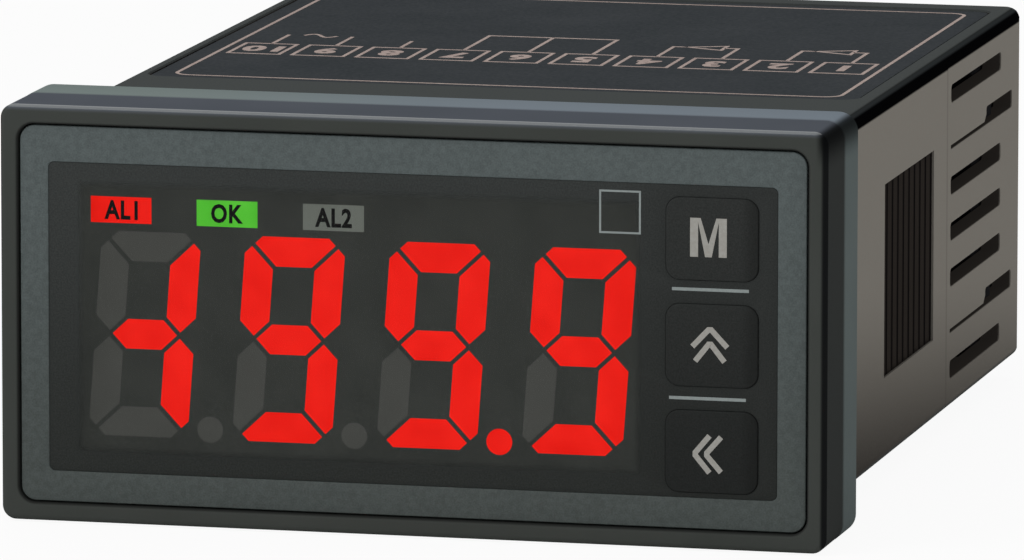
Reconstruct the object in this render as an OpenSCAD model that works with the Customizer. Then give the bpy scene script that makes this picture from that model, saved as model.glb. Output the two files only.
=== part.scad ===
// Digital panel meter with a 48 x 24 mm front: a smoked window over a four-digit
// seven-segment display, three lamps, three push keys, a vented sleeve case and a
// row of rear screw terminals.
// Frame: X runs to the right seen from the front, Y back into the panel, Z up.
// The origin is the centre of the bezel's rear face, where it seats on the panel.

/* [Bezel] */
// Width of the front
bezel_w = 48; // [47.6:0.1:50]
// Height of the front
bezel_h = 24; // [23.8:0.1:26]
// Depth of the bezel in front of the panel
bezel_depth = 8; // [7.8:0.1:9]
// Radius of the bezel's corners seen from the front
bezel_corner = 0.6; // [0.4:0.1:1.2]
// Length of the straight band at the rear of the bezel
bezel_band = 3.4; // [2:0.1:4.5]
// How far each side draws in from the band to the front
bezel_draft = 0.1; // [0.05:0.05:0.4]
// Rounding of the bezel's front edge
bezel_round = 0.35; // [0.2:0.05:0.6]
// Width of the frame around the front plate
bezel_frame = 1.15; // [1:0.05:1.5]

/* [Front plate and window] */
// Clearance around the front plate
plate_gap = 0.1; // [0.05:0.01:0.2]
// How far the front plate lies below the bezel's front
plate_sink = 0.2; // [0.1:0.05:0.4]
// Thickness of the front plate
plate_t = 0.9; // [0.7:0.05:1]
// Radius of the front plate's corners
plate_corner = 0.85; // [0.5:0.05:1.2]
// Width of the plate's border at each side of the window
border_side = 1.65; // [1.5:0.05:2]
// Width of the plate's border above and below the window
border_end = 1.9; // [1.7:0.05:2.2]
// Sideways place of the window's centre
window_x = 0; // [-0.2:0.05:0.2]
// Height of the window's centre above the plate's
window_z = -0.15; // [-0.25:0.05:0]
// Radius of the window's corners
window_corner = 0.35; // [0.2:0.05:0.6]
// Clearance between the window and the plate
window_gap = 0.03; // [0.02:0.01:0.08]
// How far the window lies below the plate
window_sink = 0.05; // [0.02:0.01:0.1]
// Thickness of the window's flange behind the plate
window_flange = 0.5; // [0.4:0.05:0.7]
// Width of the window's flange behind the plate
window_lap = 0.5; // [0.3:0.05:0.6]

/* [Keys] */
// Width of a key
key_w = 5.3; // [5:0.1:5.6]
// Space between two keys
key_space = 1.35; // [1.2:0.05:1.6]
// Distance of the keys from the window's right side
key_side = 1.1; // [0.8:0.05:1.3]
// Mean distance of the end keys from the window's top and bottom
key_end = 0.5; // [0.45:0.05:0.8]
// Radius of a key's corners
key_corner = 0.8; // [0.5:0.05:1.2]
// Rounding of a key's front edge
key_round = 0.12; // [0.08:0.01:0.2]
// How far a key stands proud of the window
key_proud = 0.1; // [0.05:0.01:0.2]
// Clearance around a key
key_gap = 0.08; // [0.05:0.01:0.12]
// Height of the middle key's centre above the window's
key_z = -0.2; // [-0.25:0.05:0]
// Width of the flange that keeps a key in
key_lap = 0.4; // [0.3:0.05:0.5]
// Thickness of the flange that keeps a key in
key_flange = 0.5; // [0.4:0.05:0.6]
// Clearance between a key's flange and the window at rest
key_seat = 0.05; // [0.03:0.01:0.08]
// Travel of a key
key_travel = 0.3; // [0.2:0.01:0.35]
// Radius of a key's stem
stem_r = 0.9; // [0.7:0.05:1.1]

/* [Key switches] */
// Width of a key switch
switch_w = 4.5; // [4:0.1:5]
// Height of a key switch's case above its board
switch_t = 1.5; // [1.3:0.1:1.7]
// Radius of a switch's plunger
plunger_r = 1; // [0.8:0.05:1.2]
// Depth of the plunger's bore
plunger_bore = 1; // [0.9:0.05:1.1]
// Running clearance around the plunger
plunger_gap = 0.05; // [0.03:0.01:0.08]
// Clearance left in front of and below the plunger when its key is pressed
plunger_spare = 0.1; // [0.08:0.01:0.15]

/* [Display] */
// Distance of the display housing from the window's left side
housing_side = 1.1; // [0.8:0.05:1.5]
// Space between the display housing and the keys
housing_key_space = 1.1; // [0.8:0.05:1.3]
// Distance of the display housing from the window's top and bottom
housing_end = 0.7; // [0.5:0.05:0.9]
// Distance of the first digit's foot from the housing's left side
digit_left = 1.2; // [1.1:0.05:1.6]
// Distance of the last digit from the housing's right side
digit_right = 1.3; // [1.2:0.05:1.6]
// Space between two digits
digit_space = 2.6; // [2.4:0.05:3]
// Distance of the digits' foot from the housing's underside
digit_foot = 1.2; // [0.9:0.05:1.5]
// Width of a bar
bar_w = 1.7; // [1.3:0.05:1.8]
// Gap between neighbouring bars
bar_gap = 0.25; // [0.1:0.01:0.35]
// How far a bar's tip is cut back
bar_tip = 0.4; // [0.2:0.05:0.5]
// Lean of the digits in degrees
digit_lean = 4.2; // [0:0.2:8]
// Radius of a decimal point
point_r = 0.75; // [0.5:0.05:0.8]
// Distance of a decimal point's centre from its digit's right side
point_side = 0.9; // [0.85:0.05:1]
// Height of a decimal point above the digits' foot
point_z = 0.55; // [0.4:0.05:0.9]
// Depth of the bars, points and lamps in the housing
bar_depth = 0.8; // [0.5:0.05:1.2]
// Width of a lamp
lamp_w = 3.55; // [3:0.05:3.7]
// Height of a lamp
lamp_h = 1.5; // [1.2:0.05:1.6]
// Distance of the first lamp from the housing's left side
lamp_side = 0.975; // [0.8:0.025:1.5]
// Distance from lamp to lamp
lamp_pitch = 6.2; // [6:0.05:6.4]
// Distance of the lamps from the housing's top
lamp_top = 1.4; // [1:0.05:1.5]
// Space between the lamps and the digits
lamp_foot = 0.45; // [0.3:0.05:0.8]
// Clearance between the window and the display housing
housing_gap = 0.1; // [0.05:0.01:0.2]

/* [Case] */
// Width of the case
case_w = 44.8; // [44.6:0.1:45]
// Height of the case
case_h = 21.6; // [21.4:0.1:22]
// Length of the case behind the bezel
case_depth = 55; // [53:0.5:65]
// Wall of the case
case_wall = 1.2; // [1.1:0.05:1.4]
// Radius of the case's long edges
case_corner = 1; // [0.7:0.05:1.2]
// Rounding of the case's rear edge
case_round = 0.5; // [0.3:0.05:0.8]
// How far the case plugs into the bezel
plug_len = 0.8; // [0.6:0.05:1]
// Clearance around the case where it plugs into the bezel
plug_gap = 0.05; // [0.03:0.01:0.1]
// Depth of the shallow step in each side
step_depth = 0.06; // [0.03:0.01:0.1]
// Distance of the step from the case's rear end
step_from_rear = 22; // [20.5:0.1:23]

/* [Vents and latches] */
// Number of slots in a side
slot_count = 7; // [7:2:7]
// Distance from slot to slot
slot_pitch = 2.75; // [2.6:0.05:2.8]
// Height of a slot
slot_h = 1.1; // [0.9:0.05:1.2]
// Length of a vent slot
slot_len = 15; // [12:0.5:16]
// Distance of the vent slots from the case's rear end
slot_from_rear = 5.8; // [5:0.1:6.5]
// Length of a latch slot
latch_len = 7.8; // [7:0.1:8.2]
// Distance of the latch slots from the case's rear end
latch_from_rear = 2.4; // [2.2:0.1:3]
// Height of the slit beside a latch slot
slit_h = 0.25; // [0.2:0.05:0.4]
// Length of a latch lug
lug_len = 2; // [1.5:0.1:2.5]
// How far a latch lug reaches into its slot
lug_reach = 0.7; // [0.4:0.05:0.8]
// Clearance around a latch lug
lug_gap = 0.1; // [0.05:0.01:0.15]

/* [Bracket ratchet] */
// Distance of the ratchet from the panel
ratchet_y = 15; // [12:0.5:16]
// Length of the ratchet
ratchet_len = 14; // [12:0.5:15]
// Height of the ratchet
ratchet_h = 11.3; // [10:0.1:12]
// Depth of the ratchet's teeth
ratchet_depth = 0.6; // [0.4:0.05:0.7]
// How far the teeth's tips lie below the side
ratchet_sink = 0.15; // [0.1:0.05:0.2]
// Number of teeth
ratchet_teeth = 9; // [7:1:11]

/* [Top label] */
// Width of the label
label_w = 42; // [40:0.1:42.2]
// Length of the label
label_len = 39.5; // [36:0.5:40]
// Distance of the label from the panel
label_y = 13; // [12:0.5:13.2]
// Thickness of the label
label_t = 0.15; // [0.1:0.01:0.2]
// Depth of the label's recess
label_sink = 0.25; // [0.22:0.01:0.35]
// Radius of the label's corners
label_corner = 1; // [0.6:0.1:1.5]
// Clearance around the label
label_gap = 0.2; // [0.1:0.01:0.3]

/* [Boards] */
// Thickness of the display board
display_board_t = 1.4; // [1:0.1:1.4]
// Ledge of the bezel that the display board seats on
board_ledge = 0.35; // [0.3:0.01:0.5]
// Clearance around the display board
board_gap = 0.1; // [0.05:0.01:0.15]
// Thickness of the main board
main_board_t = 1.4; // [1:0.1:1.6]
// Height of the main board's underside
main_board_z = -6.4; // [-6.6:0.1:-5.8]
// Clearance between the main board's sides and the case
main_board_gap = 0.4; // [0.3:0.05:0.5]
// Distance between the main board and the display board
board_step = 1; // [0.8:0.1:1.2]
// Width and height of a guide rail
rail = 0.9; // [0.8:0.05:1.1]
// Clearance between the rails and the main board
rail_gap = 0.05; // [0.02:0.01:0.1]

/* [Terminals] */
// Number of terminals
terminals = 10; // [8:1:10]
// Width left over beside the end bays, both sides together
block_side = 1.2; // [1:0.1:2]
// Thickness of the rib between two bays
rib_w = 0.7; // [0.65:0.05:0.9]
// Height of a terminal bay
bay_h = 13; // [10:0.5:14]
// Depth of a terminal bay
bay_depth = 6; // [5:0.1:7]
// Thickness of the terminal block behind the bays
block_floor = 2.5; // [2:0.1:3]
// Clearance between the terminal block and the case
block_gap = 0.1; // [0.05:0.01:0.15]
// Clearance at each side of a terminal plate
tab_gap = 0.2; // [0.1:0.05:0.3]
// Height of a terminal plate's top above the screw
tab_rise = 4; // [3.5:0.1:5]
// Thickness of a terminal plate
tab_t = 0.6; // [0.4:0.05:0.8]
// Width of the tail that joins a terminal plate to the main board
tail_w = 1; // [0.8:0.05:1.2]
// Length of the tail's foot on the main board
tail_foot = 2; // [1.5:0.1:2.5]
// Clearance at each side of a square washer
washer_gap = 0.25; // [0.15:0.05:0.35]
// Thickness of a square washer
washer_t = 0.5; // [0.4:0.05:0.6]
// Width of a washer's metal beside its hole
washer_rim = 0.35; // [0.25:0.05:0.5]
// How far a washer stands out beside the screw's head
washer_edge = 0.05; // [0.02:0.01:0.1]
// Height of a terminal screw's head
head_t = 1.2; // [1:0.1:1.4]
// Width of the cross in a screw's head
cross_w = 0.4; // [0.3:0.05:0.5]
// Metal left between the cross and the head's edge
cross_edge = 0.45; // [0.3:0.05:0.6]
// Depth of the cross in a screw's head
cross_depth = 0.6; // [0.4:0.05:0.7]
// Clearance around the screws' shanks
shank_gap = 0.1; // [0.05:0.01:0.15]

/* [Parts on the main board] */
// Distance of the front row of parts from the panel
front_row_y = 14; // [12:0.5:15]
// Distance of the rear row of parts from the panel
rear_row_y = 32; // [30:0.5:34]
// Sideways place of the controller chip
controller_x = -8; // [-12:0.5:-6]
// Sideways place of the converter chip
converter_x = 6; // [3:0.5:7]
// Distance of the signal couplers from the main board's side
coupler_margin = 2.6; // [2:0.1:4]
// Sideways place of the transformer
core_x = -10; // [-11:0.5:-8]
// Sideways place of the capacitor
capacitor_x = 9; // [6:0.5:14]
// Width, depth and height of the transformer's core
core_size = [16, 12.5, 12]; // [8:0.5:16]
// Thickness of the core's limbs
core_limb = 3; // [2.5:0.1:3.5]
// How far the winding stands out of the core
winding_proud = 2.2; // [1:0.1:2.5]
// Radius of the winding's corners
winding_corner = 1.5; // [0.8:0.1:1.7]
// Radius of the capacitor
capacitor_r = 4; // [3:0.1:4.2]
// Height of the capacitor
capacitor_h = 12; // [9:0.5:13]
// Radius of the groove under the capacitor's rim
capacitor_groove = 0.3; // [0.2:0.05:0.4]
// Width of the controller chip
controller_w = 10; // [8:0.5:12]
// Width and length of the converter chip
converter_size = [5, 7]; // [4:0.5:8]
// Height of the chips
chip_t = 1.6; // [1.2:0.1:2]
// Width and length of a signal coupler
coupler_size = [6.4, 4.6]; // [4:0.1:7]
// Height of a signal coupler
coupler_t = 3; // [2.5:0.1:3.5]
// Distance from coupler to coupler
coupler_pitch = 7.4; // [6:0.1:8]
// Number of pins in the board header
header_pins = 12; // [8:1:14]
// Distance from pin to pin
header_pitch = 2.54; // [2:0.01:2.54]
// Width of a header pin
pin_w = 0.6; // [0.5:0.02:0.7]
// Height and depth of the header's body
header_t = 2.4; // [2.2:0.1:2.6]

/* [Hidden] */
$fn = 48;

// Cuts run this far past the faces that they open
past = 1;
// Steps in a rounded edge
round_steps = 6;

// Stations along the depth, from the front to the rear
y_front = -bezel_depth;
y_plate = y_front + plate_sink;
y_plate_rear = y_plate + plate_t;
y_window = y_plate + window_sink;
y_window_rear = y_plate_rear + window_flange;
y_key = y_window - key_proud;
y_key_flange = y_window_rear + key_seat;
y_housing = y_window_rear + housing_gap;
y_board_rear = -plug_len;
y_board = y_board_rear - display_board_t;
y_switch = y_board - switch_t;
y_main = y_board_rear + board_step;
y_block = case_depth - bay_depth - block_floor;
y_bay = case_depth - bay_depth;

// Front plate and its pocket in the bezel
plate_pocket_w = bezel_w - 2 * bezel_frame;
plate_pocket_h = bezel_h - 2 * bezel_frame;
plate_w = plate_pocket_w - 2 * plate_gap;
plate_h = plate_pocket_h - 2 * plate_gap;
window_w = plate_w - 2 * border_side;
window_h = plate_h - 2 * border_end;

// Column of keys at the window's right side
key_h = (window_h - 2 * key_end - 2 * key_space) / 3;
key_pitch = key_h + key_space;
key_x = window_x + window_w / 2 - key_side - key_w / 2;
key_places = [for (row = [1, 0, -1]) window_z + key_z + row * key_pitch];

// Display housing, which fills the window's left side up to the keys
housing_left = window_x - window_w / 2 + housing_side;
housing_w = key_x - key_w / 2 - housing_key_space - housing_left;
housing_h = window_h - 2 * housing_end;
digits = 4;
digit_w = (housing_w - digit_left - digit_right - (digits - 1) * digit_space) / digits;
digit_h = housing_h - digit_foot - lamp_foot - lamp_h - lamp_top;
digit_pitch = digit_w + digit_space;
digit_x = housing_left + digit_left + digit_w / 2;
digit_z = window_z - housing_h / 2 + digit_foot + digit_h / 2;
lamp_x = housing_left + lamp_side + lamp_w / 2;
lamp_z = window_z + housing_h / 2 - lamp_top - lamp_h / 2;

// Window flange, which passes through the bezel in front of the board
flange_w = window_w + 2 * window_lap;
flange_h = window_h + 2 * window_lap;
throat_w = flange_w + 2 * plate_gap + 2 * abs(window_x);
throat_h = flange_h + 2 * plate_gap + 2 * abs(window_z);

// Display board and its pocket in the bezel's rear
board_pocket_w = throat_w + 2 * board_ledge;
board_pocket_h = throat_h + 4 * board_ledge;
board_w = board_pocket_w - 2 * board_gap;
board_h = board_pocket_h - 2 * board_gap;
pocket_corner = 0.6;

// Inside of the case
inner_w = case_w - 2 * case_wall;
inner_h = case_h - 2 * case_wall;
board_top = main_board_z + main_board_t;
main_w = inner_w - 2 * main_board_gap;
coupler_x = main_w / 2 - coupler_margin - coupler_size.x / 2;
rail_rear = y_block - past;
main_rear = y_block;

// Bays of the terminal block
block_w = inner_w - 2 * block_gap;
terminal_pitch = (block_w - block_side) / terminals;
bay_w = terminal_pitch - rib_w;
tab_w = bay_w - 2 * tab_gap;
washer_w = bay_w - 2 * washer_gap;
screw_r = washer_w / 2 - washer_rim - shank_gap;
head_r = washer_w / 2 - washer_edge;
cross_len = 2 * (head_r - cross_edge);

// Bars of a digit are named a to g, clockwise from the top and with g in the middle
ALL_BARS = "abcdefg";
// Bars that are lit in each digit, and whether the point after a digit is lit
reading = ["bcg", "abcdfg", "abcdfg", "abcdfg"];
point_lit = [false, false, true];

// ---- shared forms ----

// Rounded rectangle about the origin, with true arcs at its corners
module rounded(w, h, r) {
    square([w, h - 2 * r], center = true);
    square([w - 2 * r, h], center = true);
    for (sx = [-1, 1], sy = [-1, 1])
        translate([sx * (w / 2 - r), sy * (h / 2 - r)]) circle(r);
}

// Carries a drawing of the XZ plane from y0 to y1
module along_y(y0, y1) {
    translate([0, y1, 0]) rotate([90, 0, 0]) linear_extrude(y1 - y0) children();
}

// Carries a drawing of the YZ plane from x0 to x1
module along_x(x0, x1) {
    translate([x0, 0, 0]) rotate([90, 0, 90]) linear_extrude(x1 - x0) children();
}

// Block centred on its place in X and Z, starting at its place in Y
module brick(size, at = [0, 0, 0]) {
    translate([at.x - size.x / 2, at.y, at.z - size.z / 2]) cube(size);
}

// Block that stands on its place, centred there in X and Y
module stand(size, at) {
    translate([at.x - size.x / 2, at.y - size.y / 2, at.z]) cube(size);
}

// Cylinder along Y
module rod(r, y0, y1, x = 0, z = 0) {
    translate([x, y1, z]) rotate([90, 0, 0]) cylinder(r = r, h = y1 - y0);
}

// Round corner of an outline: centre, radius, and where its arc starts and ends
function arc(c, r, a0, a1) =
    [for (i = [0 : round_steps]) let (a = a0 + (a1 - a0) * i / round_steps)
        c + r * [cos(a), sin(a)]];

// ---- bezel ----

// Half of the bezel's section: straight band, draft towards the front, rounded edge
function bezel_edge(half) = concat(
    [[half, 0], [half, -bezel_band]],
    arc([half - bezel_draft - bezel_round, y_front + bezel_round], bezel_round, 0, -90));

function mirrored(outline) = [for (i = [len(outline) - 1 : -1 : 0]) [-outline[i].x, outline[i].y]];

module bezel_section(half) {
    polygon(concat(bezel_edge(half), mirrored(bezel_edge(half))));
}

module bezel() {
    color([0.16, 0.18, 0.2]) difference() {
        intersection() {
            along_y(y_front, 0) rounded(bezel_w, bezel_h, bezel_corner);
            translate([0, 0, -bezel_h]) linear_extrude(2 * bezel_h) bezel_section(bezel_w / 2);
            rotate([0, 90, 0]) translate([0, 0, -bezel_w]) linear_extrude(2 * bezel_w)
                bezel_section(bezel_h / 2);
        }
        along_y(y_front - past, y_plate_rear)
            rounded(plate_pocket_w, plate_pocket_h, plate_corner + plate_gap);
        along_y(y_plate_rear - past, y_board + past)
            rounded(throat_w, throat_h, pocket_corner);
        along_y(y_board, past) rounded(board_pocket_w, board_pocket_h, pocket_corner);
        along_y(-plug_len, past)
            rounded(case_w + 2 * plug_gap, case_h + 2 * plug_gap, case_corner + plug_gap);
    }
}

// ---- front plate, window and keys ----

module face_plate() {
    color([0.29, 0.32, 0.32]) difference() {
        along_y(y_plate, y_plate_rear) rounded(plate_w, plate_h, plate_corner);
        along_y(y_plate - past, y_plate_rear + past) translate([window_x, window_z])
            rounded(window_w, window_h, window_corner);
    }
}

module display_window() {
    color([0.18, 0.19, 0.18, 0.5]) difference() {
        union() {
            along_y(y_window, y_plate_rear) translate([window_x, window_z])
                rounded(window_w - 2 * window_gap, window_h - 2 * window_gap, window_corner);
            along_y(y_plate_rear, y_window_rear) translate([window_x, window_z])
                rounded(flange_w, flange_h, window_corner);
        }
        for (z = key_places)
            along_y(y_window - past, y_window_rear + past) translate([key_x, z])
                rounded(key_w + 2 * key_gap, key_h + 2 * key_gap, key_corner + key_gap);
    }
}

// Section of a key's cap with a rounded front edge
module key_section(half) {
    edge = concat([[half, y_window_rear]],
                  arc([half - key_round, y_key + key_round], key_round, 0, -90));
    polygon(concat(edge, mirrored(edge)));
}

module key(z) {
    color([0.17, 0.18, 0.17]) translate([key_x, 0, z]) {
        intersection() {
            along_y(y_key, y_window_rear) rounded(key_w, key_h, key_corner);
            translate([0, 0, -key_h]) linear_extrude(2 * key_h) key_section(key_w / 2);
            rotate([0, 90, 0]) translate([0, 0, -key_w]) linear_extrude(2 * key_w)
                key_section(key_h / 2);
        }
        along_y(y_window_rear, y_key_flange) rounded(key_w, key_h, key_corner);
        along_y(y_key_flange, y_key_flange + key_flange)
            rounded(key_w + 2 * key_lap, key_h + 2 * key_lap, key_corner);
        rod(stem_r, y_key_flange + key_flange, y_plunger);
    }
}

module mode_key() { key(key_places[0]); }
module up_key() { key(key_places[1]); }
module shift_key() { key(key_places[2]); }

// ---- key switches ----

// At rest the plunger stands out of its switch, and clear of its bore's floor, by this much
plunger_reach = key_travel + plunger_spare;
plunger_end = y_switch + plunger_bore - plunger_reach;
y_plunger = y_switch - plunger_reach;

module plunger(z) {
    color([0.75, 0.72, 0.66]) rod(plunger_r, y_plunger, plunger_end, key_x, z);
}

module key_switch(z) {
    color([0.12, 0.12, 0.12]) difference() {
        brick([switch_w, switch_t, switch_w], [key_x, y_switch, z]);
        rod(plunger_r + plunger_gap, y_switch - past, y_switch + plunger_bore, key_x, z);
    }
}

module mode_plunger() { plunger(key_places[0]); }
module up_plunger() { plunger(key_places[1]); }
module shift_plunger() { plunger(key_places[2]); }
module mode_switch() { key_switch(key_places[0]); }
module up_switch() { key_switch(key_places[1]); }
module shift_switch() { key_switch(key_places[2]); }

// ---- seven-segment display ----

// Outlines are drawn about the digit's centre, upright, and then leaned
half_w = digit_w / 2;
half_h = digit_h / 2;
// Half of the gap between two mitred bars, measured along X or Z
mitre = bar_gap / sqrt(2);

// Top bar: mitred ends with blunt tips
function top_bar() = [
    [-half_w + mitre + 2 * bar_tip, half_h],
    [half_w - mitre - 2 * bar_tip, half_h],
    [half_w - mitre - bar_tip, half_h - bar_tip],
    [half_w - mitre - bar_w, half_h - bar_w],
    [-half_w + mitre + bar_w, half_h - bar_w],
    [-half_w + mitre + bar_tip, half_h - bar_tip]];

// Upper right bar: a mitre above and a centred point below
function side_bar() = [
    [half_w, half_h - mitre - 2 * bar_tip],
    [half_w, mitre + bar_w / 2],
    [half_w - bar_w / 2, mitre],
    [half_w - bar_w, mitre + bar_w / 2],
    [half_w - bar_w, half_h - mitre - bar_w],
    [half_w - bar_tip, half_h - mitre - bar_tip]];

// Middle bar: pointed at both ends
function middle_bar() = [
    [-half_w + bar_w / 2 + mitre, 0],
    [-half_w + bar_w + mitre, bar_w / 2],
    [half_w - bar_w - mitre, bar_w / 2],
    [half_w - bar_w / 2 - mitre, 0],
    [half_w - bar_w - mitre, -bar_w / 2],
    [-half_w + bar_w + mitre, -bar_w / 2]];

function flip(outline, fx, fz) = [for (p = outline) [fx * p.x, fz * p.y]];
function lean(outline) = [for (p = outline) [p.x + p.y * tan(digit_lean), p.y]];

function bar(name) = lean(
    name == "a" ? top_bar() :
    name == "b" ? side_bar() :
    name == "c" ? flip(side_bar(), 1, -1) :
    name == "d" ? flip(top_bar(), 1, -1) :
    name == "e" ? flip(side_bar(), -1, -1) :
    name == "f" ? flip(side_bar(), -1, 1) :
    middle_bar());

module bars(digit, names) {
    along_y(y_housing, y_housing + bar_depth)
        translate([digit_x + digit * digit_pitch, digit_z])
            for (name = names) polygon(bar(name));
}

function dark(digit) = [for (name = ALL_BARS) if (len(search(name, reading[digit])) == 0) name];

module lit_bars(digit) { color([0.92, 0.13, 0.09]) bars(digit, reading[digit]); }
module dark_bars(digit) { color([0.26, 0.26, 0.25]) bars(digit, dark(digit)); }

module digit_1_lit_bars() { lit_bars(0); }
module digit_1_dark_bars() { dark_bars(0); }
module digit_2_lit_bars() { lit_bars(1); }
module digit_2_dark_bars() { dark_bars(1); }
module digit_3_lit_bars() { lit_bars(2); }
module digit_3_dark_bars() { dark_bars(2); }
module digit_4_lit_bars() { lit_bars(3); }
module digit_4_dark_bars() { dark_bars(3); }

module point(i) {
    rod(point_r, y_housing, y_housing + bar_depth,
        digit_x + i * digit_pitch + digit_w / 2 + point_side, digit_z - half_h + point_z);
}

module lit_point() {
    color([0.92, 0.13, 0.09]) for (i = [0 : len(point_lit) - 1]) if (point_lit[i]) point(i);
}
module dark_points() {
    color([0.26, 0.26, 0.25]) for (i = [0 : len(point_lit) - 1]) if (!point_lit[i]) point(i);
}

module lamp(i) {
    brick([lamp_w, bar_depth, lamp_h], [lamp_x + i * lamp_pitch, y_housing, lamp_z]);
}

module alarm_1_lamp() { color([0.92, 0.13, 0.09]) lamp(0); }
module ok_lamp() { color([0.29, 0.73, 0.2]) lamp(1); }
module alarm_2_lamp() { color([0.37, 0.37, 0.36]) lamp(2); }

module display_housing() {
    color([0.1, 0.11, 0.11]) difference() {
        brick([housing_w, y_board - y_housing, housing_h],
              [housing_left + housing_w / 2, y_housing, window_z]);
        for (digit = [0 : digits - 1]) bars(digit, ALL_BARS);
        for (i = [0 : len(point_lit) - 1]) point(i);
        for (i = [0 : 2]) lamp(i);
    }
}

module display_board() {
    color([0.1, 0.35, 0.2])
        along_y(y_board, y_board_rear) rounded(board_w, board_h, pocket_corner);
}

// ---- case ----

// Section of the case with a rounded rear edge
module case_section(half) {
    edge = concat([[half, -plug_len]],
                  arc([half - case_round, case_depth - case_round], case_round, 0, 90));
    polygon(concat(edge, mirrored(edge)));
}

// Outline of one side's slot, drawn with its rear end at the origin
module vent_slot() {
    translate([-slot_len / 2, 0]) rounded(slot_len, slot_h, 0.35);
}

// Latch slot: a short opening with a thin slit along its lower edge, which lets the
// wall beside it spring
module latch_slot() {
    slit_len = slot_len + slot_from_rear - latch_from_rear;
    ramp = slot_h / 2;
    translate([-latch_len / 2, 0]) rounded(latch_len, slot_h, 0.25);
    polygon([[-latch_len / 2, -slot_h / 2],
             [-latch_len / 2, slot_h / 2 - slit_h],
             [-latch_len + slit_h, slot_h / 2 - slit_h],
             [-latch_len - ramp, -slot_h / 2 + slit_h],
             [-slit_len, -slot_h / 2 + slit_h],
             [-slit_len, -slot_h / 2]]);
}

slots_half = (slot_count - 1) / 2;
// The second slot from each end is a latch
latch_at = slots_half - 1;

module side_slots() {
    along_x(inner_w / 2 - past, case_w / 2 + past)
        for (i = [-slots_half : slots_half])
            if (abs(i) == latch_at)
                translate([case_depth - latch_from_rear, i * slot_pitch]) latch_slot();
            else
                translate([case_depth - slot_from_rear, i * slot_pitch]) vent_slot();
}

// Saw-toothed recess that a fixing bracket's pawl climbs along
module ratchet() {
    pitch = ratchet_len / ratchet_teeth;
    floor_x = case_w / 2 - ratchet_depth;
    tip_x = case_w / 2 - ratchet_sink;
    teeth = [for (i = [0 : ratchet_teeth - 1], p = [0, 1])
        [p == 0 ? floor_x : tip_x, ratchet_y + (i + p) * pitch]];
    translate([0, 0, -ratchet_h / 2]) linear_extrude(ratchet_h)
        polygon(concat([[case_w / 2 + past, ratchet_y]], teeth,
                       [[case_w / 2 + past, ratchet_y + ratchet_len]]));
}

// Rails above and below each edge of the main board
module rails() {
    for (z = [main_board_z - rail_gap - rail, board_top + rail_gap])
        translate([inner_w / 2 - rail, y_main, z])
            cube([rail + case_wall / 2, rail_rear - y_main, rail]);
}

module case() {
    color([0.42, 0.4, 0.37]) difference() {
        union() {
            difference() {
                intersection() {
                    along_y(-plug_len, case_depth) rounded(case_w, case_h, case_corner);
                    translate([0, 0, -case_h]) linear_extrude(2 * case_h)
                        case_section(case_w / 2);
                    rotate([0, 90, 0]) translate([0, 0, -case_w]) linear_extrude(2 * case_w)
                        case_section(case_h / 2);
                }
                along_y(-plug_len - past, case_depth + past)
                    rounded(inner_w, inner_h, pocket_corner);
            }
            for (side = [0, 1]) mirror([side, 0, 0]) rails();
        }
        for (side = [0, 1]) mirror([side, 0, 0]) {
            side_slots();
            ratchet();
            translate([case_w / 2 - step_depth, case_depth - step_from_rear, -case_h])
                cube([past, step_from_rear + past, 2 * case_h]);
        }
        translate([0, label_y + label_len / 2, case_h / 2 - label_sink]) linear_extrude(past)
            rounded(label_w + 2 * label_gap, label_len + 2 * label_gap,
                    label_corner + label_gap);
    }
}

module top_label() {
    color([0.2, 0.2, 0.22])
        translate([0, label_y + label_len / 2, case_h / 2 - label_sink]) linear_extrude(label_t)
            rounded(label_w, label_len, label_corner);
}

// ---- boards and what stands on them ----

module main_board() {
    color([0.1, 0.35, 0.2])
        translate([-main_w / 2, y_main, main_board_z])
            cube([main_w, main_rear - y_main, main_board_t]);
}

header_span = (header_pins - 1) * header_pitch;
pin_z = board_top + header_t / 2;

module board_header() {
    color([0.08, 0.08, 0.08]) difference() {
        stand([header_span + header_pitch, header_t, header_t],
              [0, y_main + header_t / 2, board_top]);
        pins();
    }
}

// Bent pins: along Y to the display board, and down to the main board
module pins() {
    for (i = [0 : header_pins - 1]) {
        x = i * header_pitch - header_span / 2;
        brick([pin_w, y_main + header_t + pin_w - y_board_rear, pin_w], [x, y_board_rear, pin_z]);
        translate([x - pin_w / 2, y_main + header_t, board_top])
            cube([pin_w, pin_w, pin_z - board_top]);
    }
}

module header_contacts() { color([0.8, 0.7, 0.4]) pins(); }

module controller_chip() {
    color([0.1, 0.1, 0.1])
        stand([controller_w, controller_w, chip_t], [controller_x, front_row_y, board_top]);
}

module converter_chip() {
    color([0.1, 0.1, 0.1]) stand([converter_size.x, converter_size.y, chip_t],
                                 [converter_x, front_row_y, board_top]);
}

module signal_couplers() {
    color([0.9, 0.9, 0.88]) for (side = [-1, 1])
        stand([coupler_size.x, coupler_size.y, coupler_t],
              [coupler_x, front_row_y + side * coupler_pitch / 2, board_top]);
}

// Width of a core window: the limbs are the same at the sides and the centre is as wide
core_opening = (core_size.x - 3 * core_limb) / 2;
coil_h = core_size.z - 2 * core_limb;

// Laminated core: an outer frame around two windows with a centre limb
module transformer_core() {
    color([0.35, 0.33, 0.3])
        translate([core_x, rear_row_y, board_top]) difference() {
            stand(core_size, [0, 0, 0]);
            for (side = [-1, 1])
                stand([core_opening, core_size.y + past, coil_h],
                      [side * (core_limb + core_opening) / 2, 0, core_limb]);
        }
}

// Coil around the centre limb, standing out of the core's windows front and rear
module transformer_winding() {
    color([0.75, 0.6, 0.2])
        translate([core_x, rear_row_y, board_top + core_limb]) linear_extrude(coil_h) difference() {
            rounded(core_limb + 2 * core_opening, core_size.y + 2 * winding_proud, winding_corner);
            square([core_limb, core_size.y], center = true);
        }
}

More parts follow.
